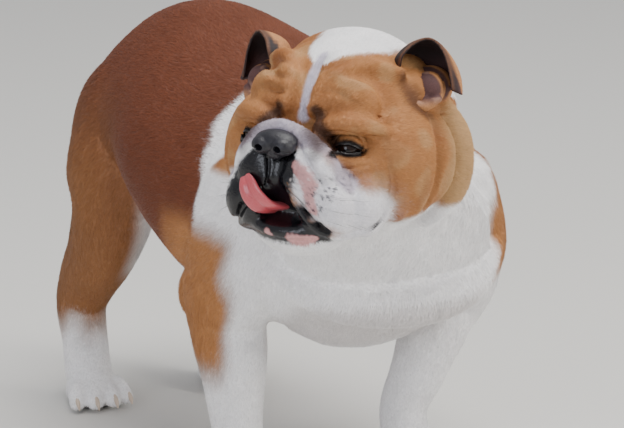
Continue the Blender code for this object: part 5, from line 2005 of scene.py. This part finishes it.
# %% [markdown]
# ## Floor, light and camera
#
# A plain pale floor and soft studio light. The camera looks from the dog's right front, a little
# above it, through a long lens, which keeps the perspective of the picture.

# %% Stage
FLOOR_SIZE = 14
SKY_COLOUR, SKY_STRENGTH = (0.93, 0.95, 1.0, 1), 0.55


def stage_floor():
    """A plain floor, which isn't part of the model."""
    bpy.ops.mesh.primitive_plane_add(size=FLOOR_SIZE, location=(0, 0, 0))
    floor = bpy.context.object
    floor.name = "floor"
    made, _, shader = material("pale_floor", 0.7)
    shader.inputs["Base Color"].default_value = (*linear("#d9d7d2"), 1)
    floor.data.materials.append(made)
    floor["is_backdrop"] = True


def lamp(name, place, aim, size, power, colour):
    """A round soft lamp. Its size is in metres and its power in watts."""
    light = bpy.data.lights.new(name, "AREA")
    light.shape = "DISK"
    light.size = size
    light.energy = power
    light.color = colour
    item = bpy.data.objects.new(name, light)
    item.location = place
    item.rotation_euler = (Vector(place) - Vector(aim)).to_track_quat("Z", "Y").to_euler()
    bpy.context.scene.collection.objects.link(item)


stage_floor()
# name, place, what it points at, size, power and colour
LAMPS = (
    ("sky", (0.3, -0.4, 3.0), (0, -0.1, 0.2), 2.2, 96, (1.0, 0.99, 0.97)),
    ("window_right", (1.9, -2.2, 1.5), (0, -0.2, 0.25), 1.2, 40, (1.0, 0.97, 0.92)),
    ("window_left", (-2.2, -1.6, 1.0), (0, -0.1, 0.25), 1.4, 20, (0.86, 0.90, 1.0)),
)
for settings in LAMPS:
    lamp(*settings)
print("a floor and", len(LAMPS), "lamps")
world = bpy.data.worlds.new("studio")
world.use_nodes = True
sky = world.node_tree.nodes["Background"]
sky.inputs["Color"].default_value = SKY_COLOUR
sky.inputs["Strength"].default_value = SKY_STRENGTH
bpy.context.scene.world = world

# %% [markdown]
# ## Camera
#
# The camera keeps the framing of the picture: the head in the upper half, the feet cut by the lower
# edge. It looks slightly down from the dog's right front, and its distance sets the perspective.

# %% Camera
AZIMUTH, ELEVATION, DISTANCE = math.radians(-25.5), math.radians(13.5), 4.5
PIXELS_PER_METRE, FRAME_WIDTH, SENSOR = 1066, 624, 36
back = Vector(
    (math.sin(AZIMUTH) * math.cos(ELEVATION), -math.cos(AZIMUTH) * math.cos(ELEVATION), math.sin(ELEVATION))
)
AIM = Vector((0.040, 0, 0.221))
target = AIM + SLIDE
view = bpy.data.cameras.new("camera")
view.sensor_width = SENSOR
view.lens = PIXELS_PER_METRE * DISTANCE * SENSOR / FRAME_WIDTH
view.clip_end = 50
camera = bpy.data.objects.new("camera", view)
camera.location = target + back * DISTANCE
camera.rotation_euler = back.to_track_quat("Z", "Y").to_euler()
bpy.context.scene.collection.objects.link(camera)
bpy.context.scene.camera = camera
print("camera with a lens of", round(view.lens), "mm at", DISTANCE, "m")

# %% [markdown]
# ## Sizes
#
# The box of everything shown but the floor is printed, in millimetres. The coat may stand a little
# past the solids, and no more.

# %% Sizes, and finish
low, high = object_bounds()
print("the visual model is", [round(1000 * (b - a), 1) for a, b in zip(low, high)], "mm")
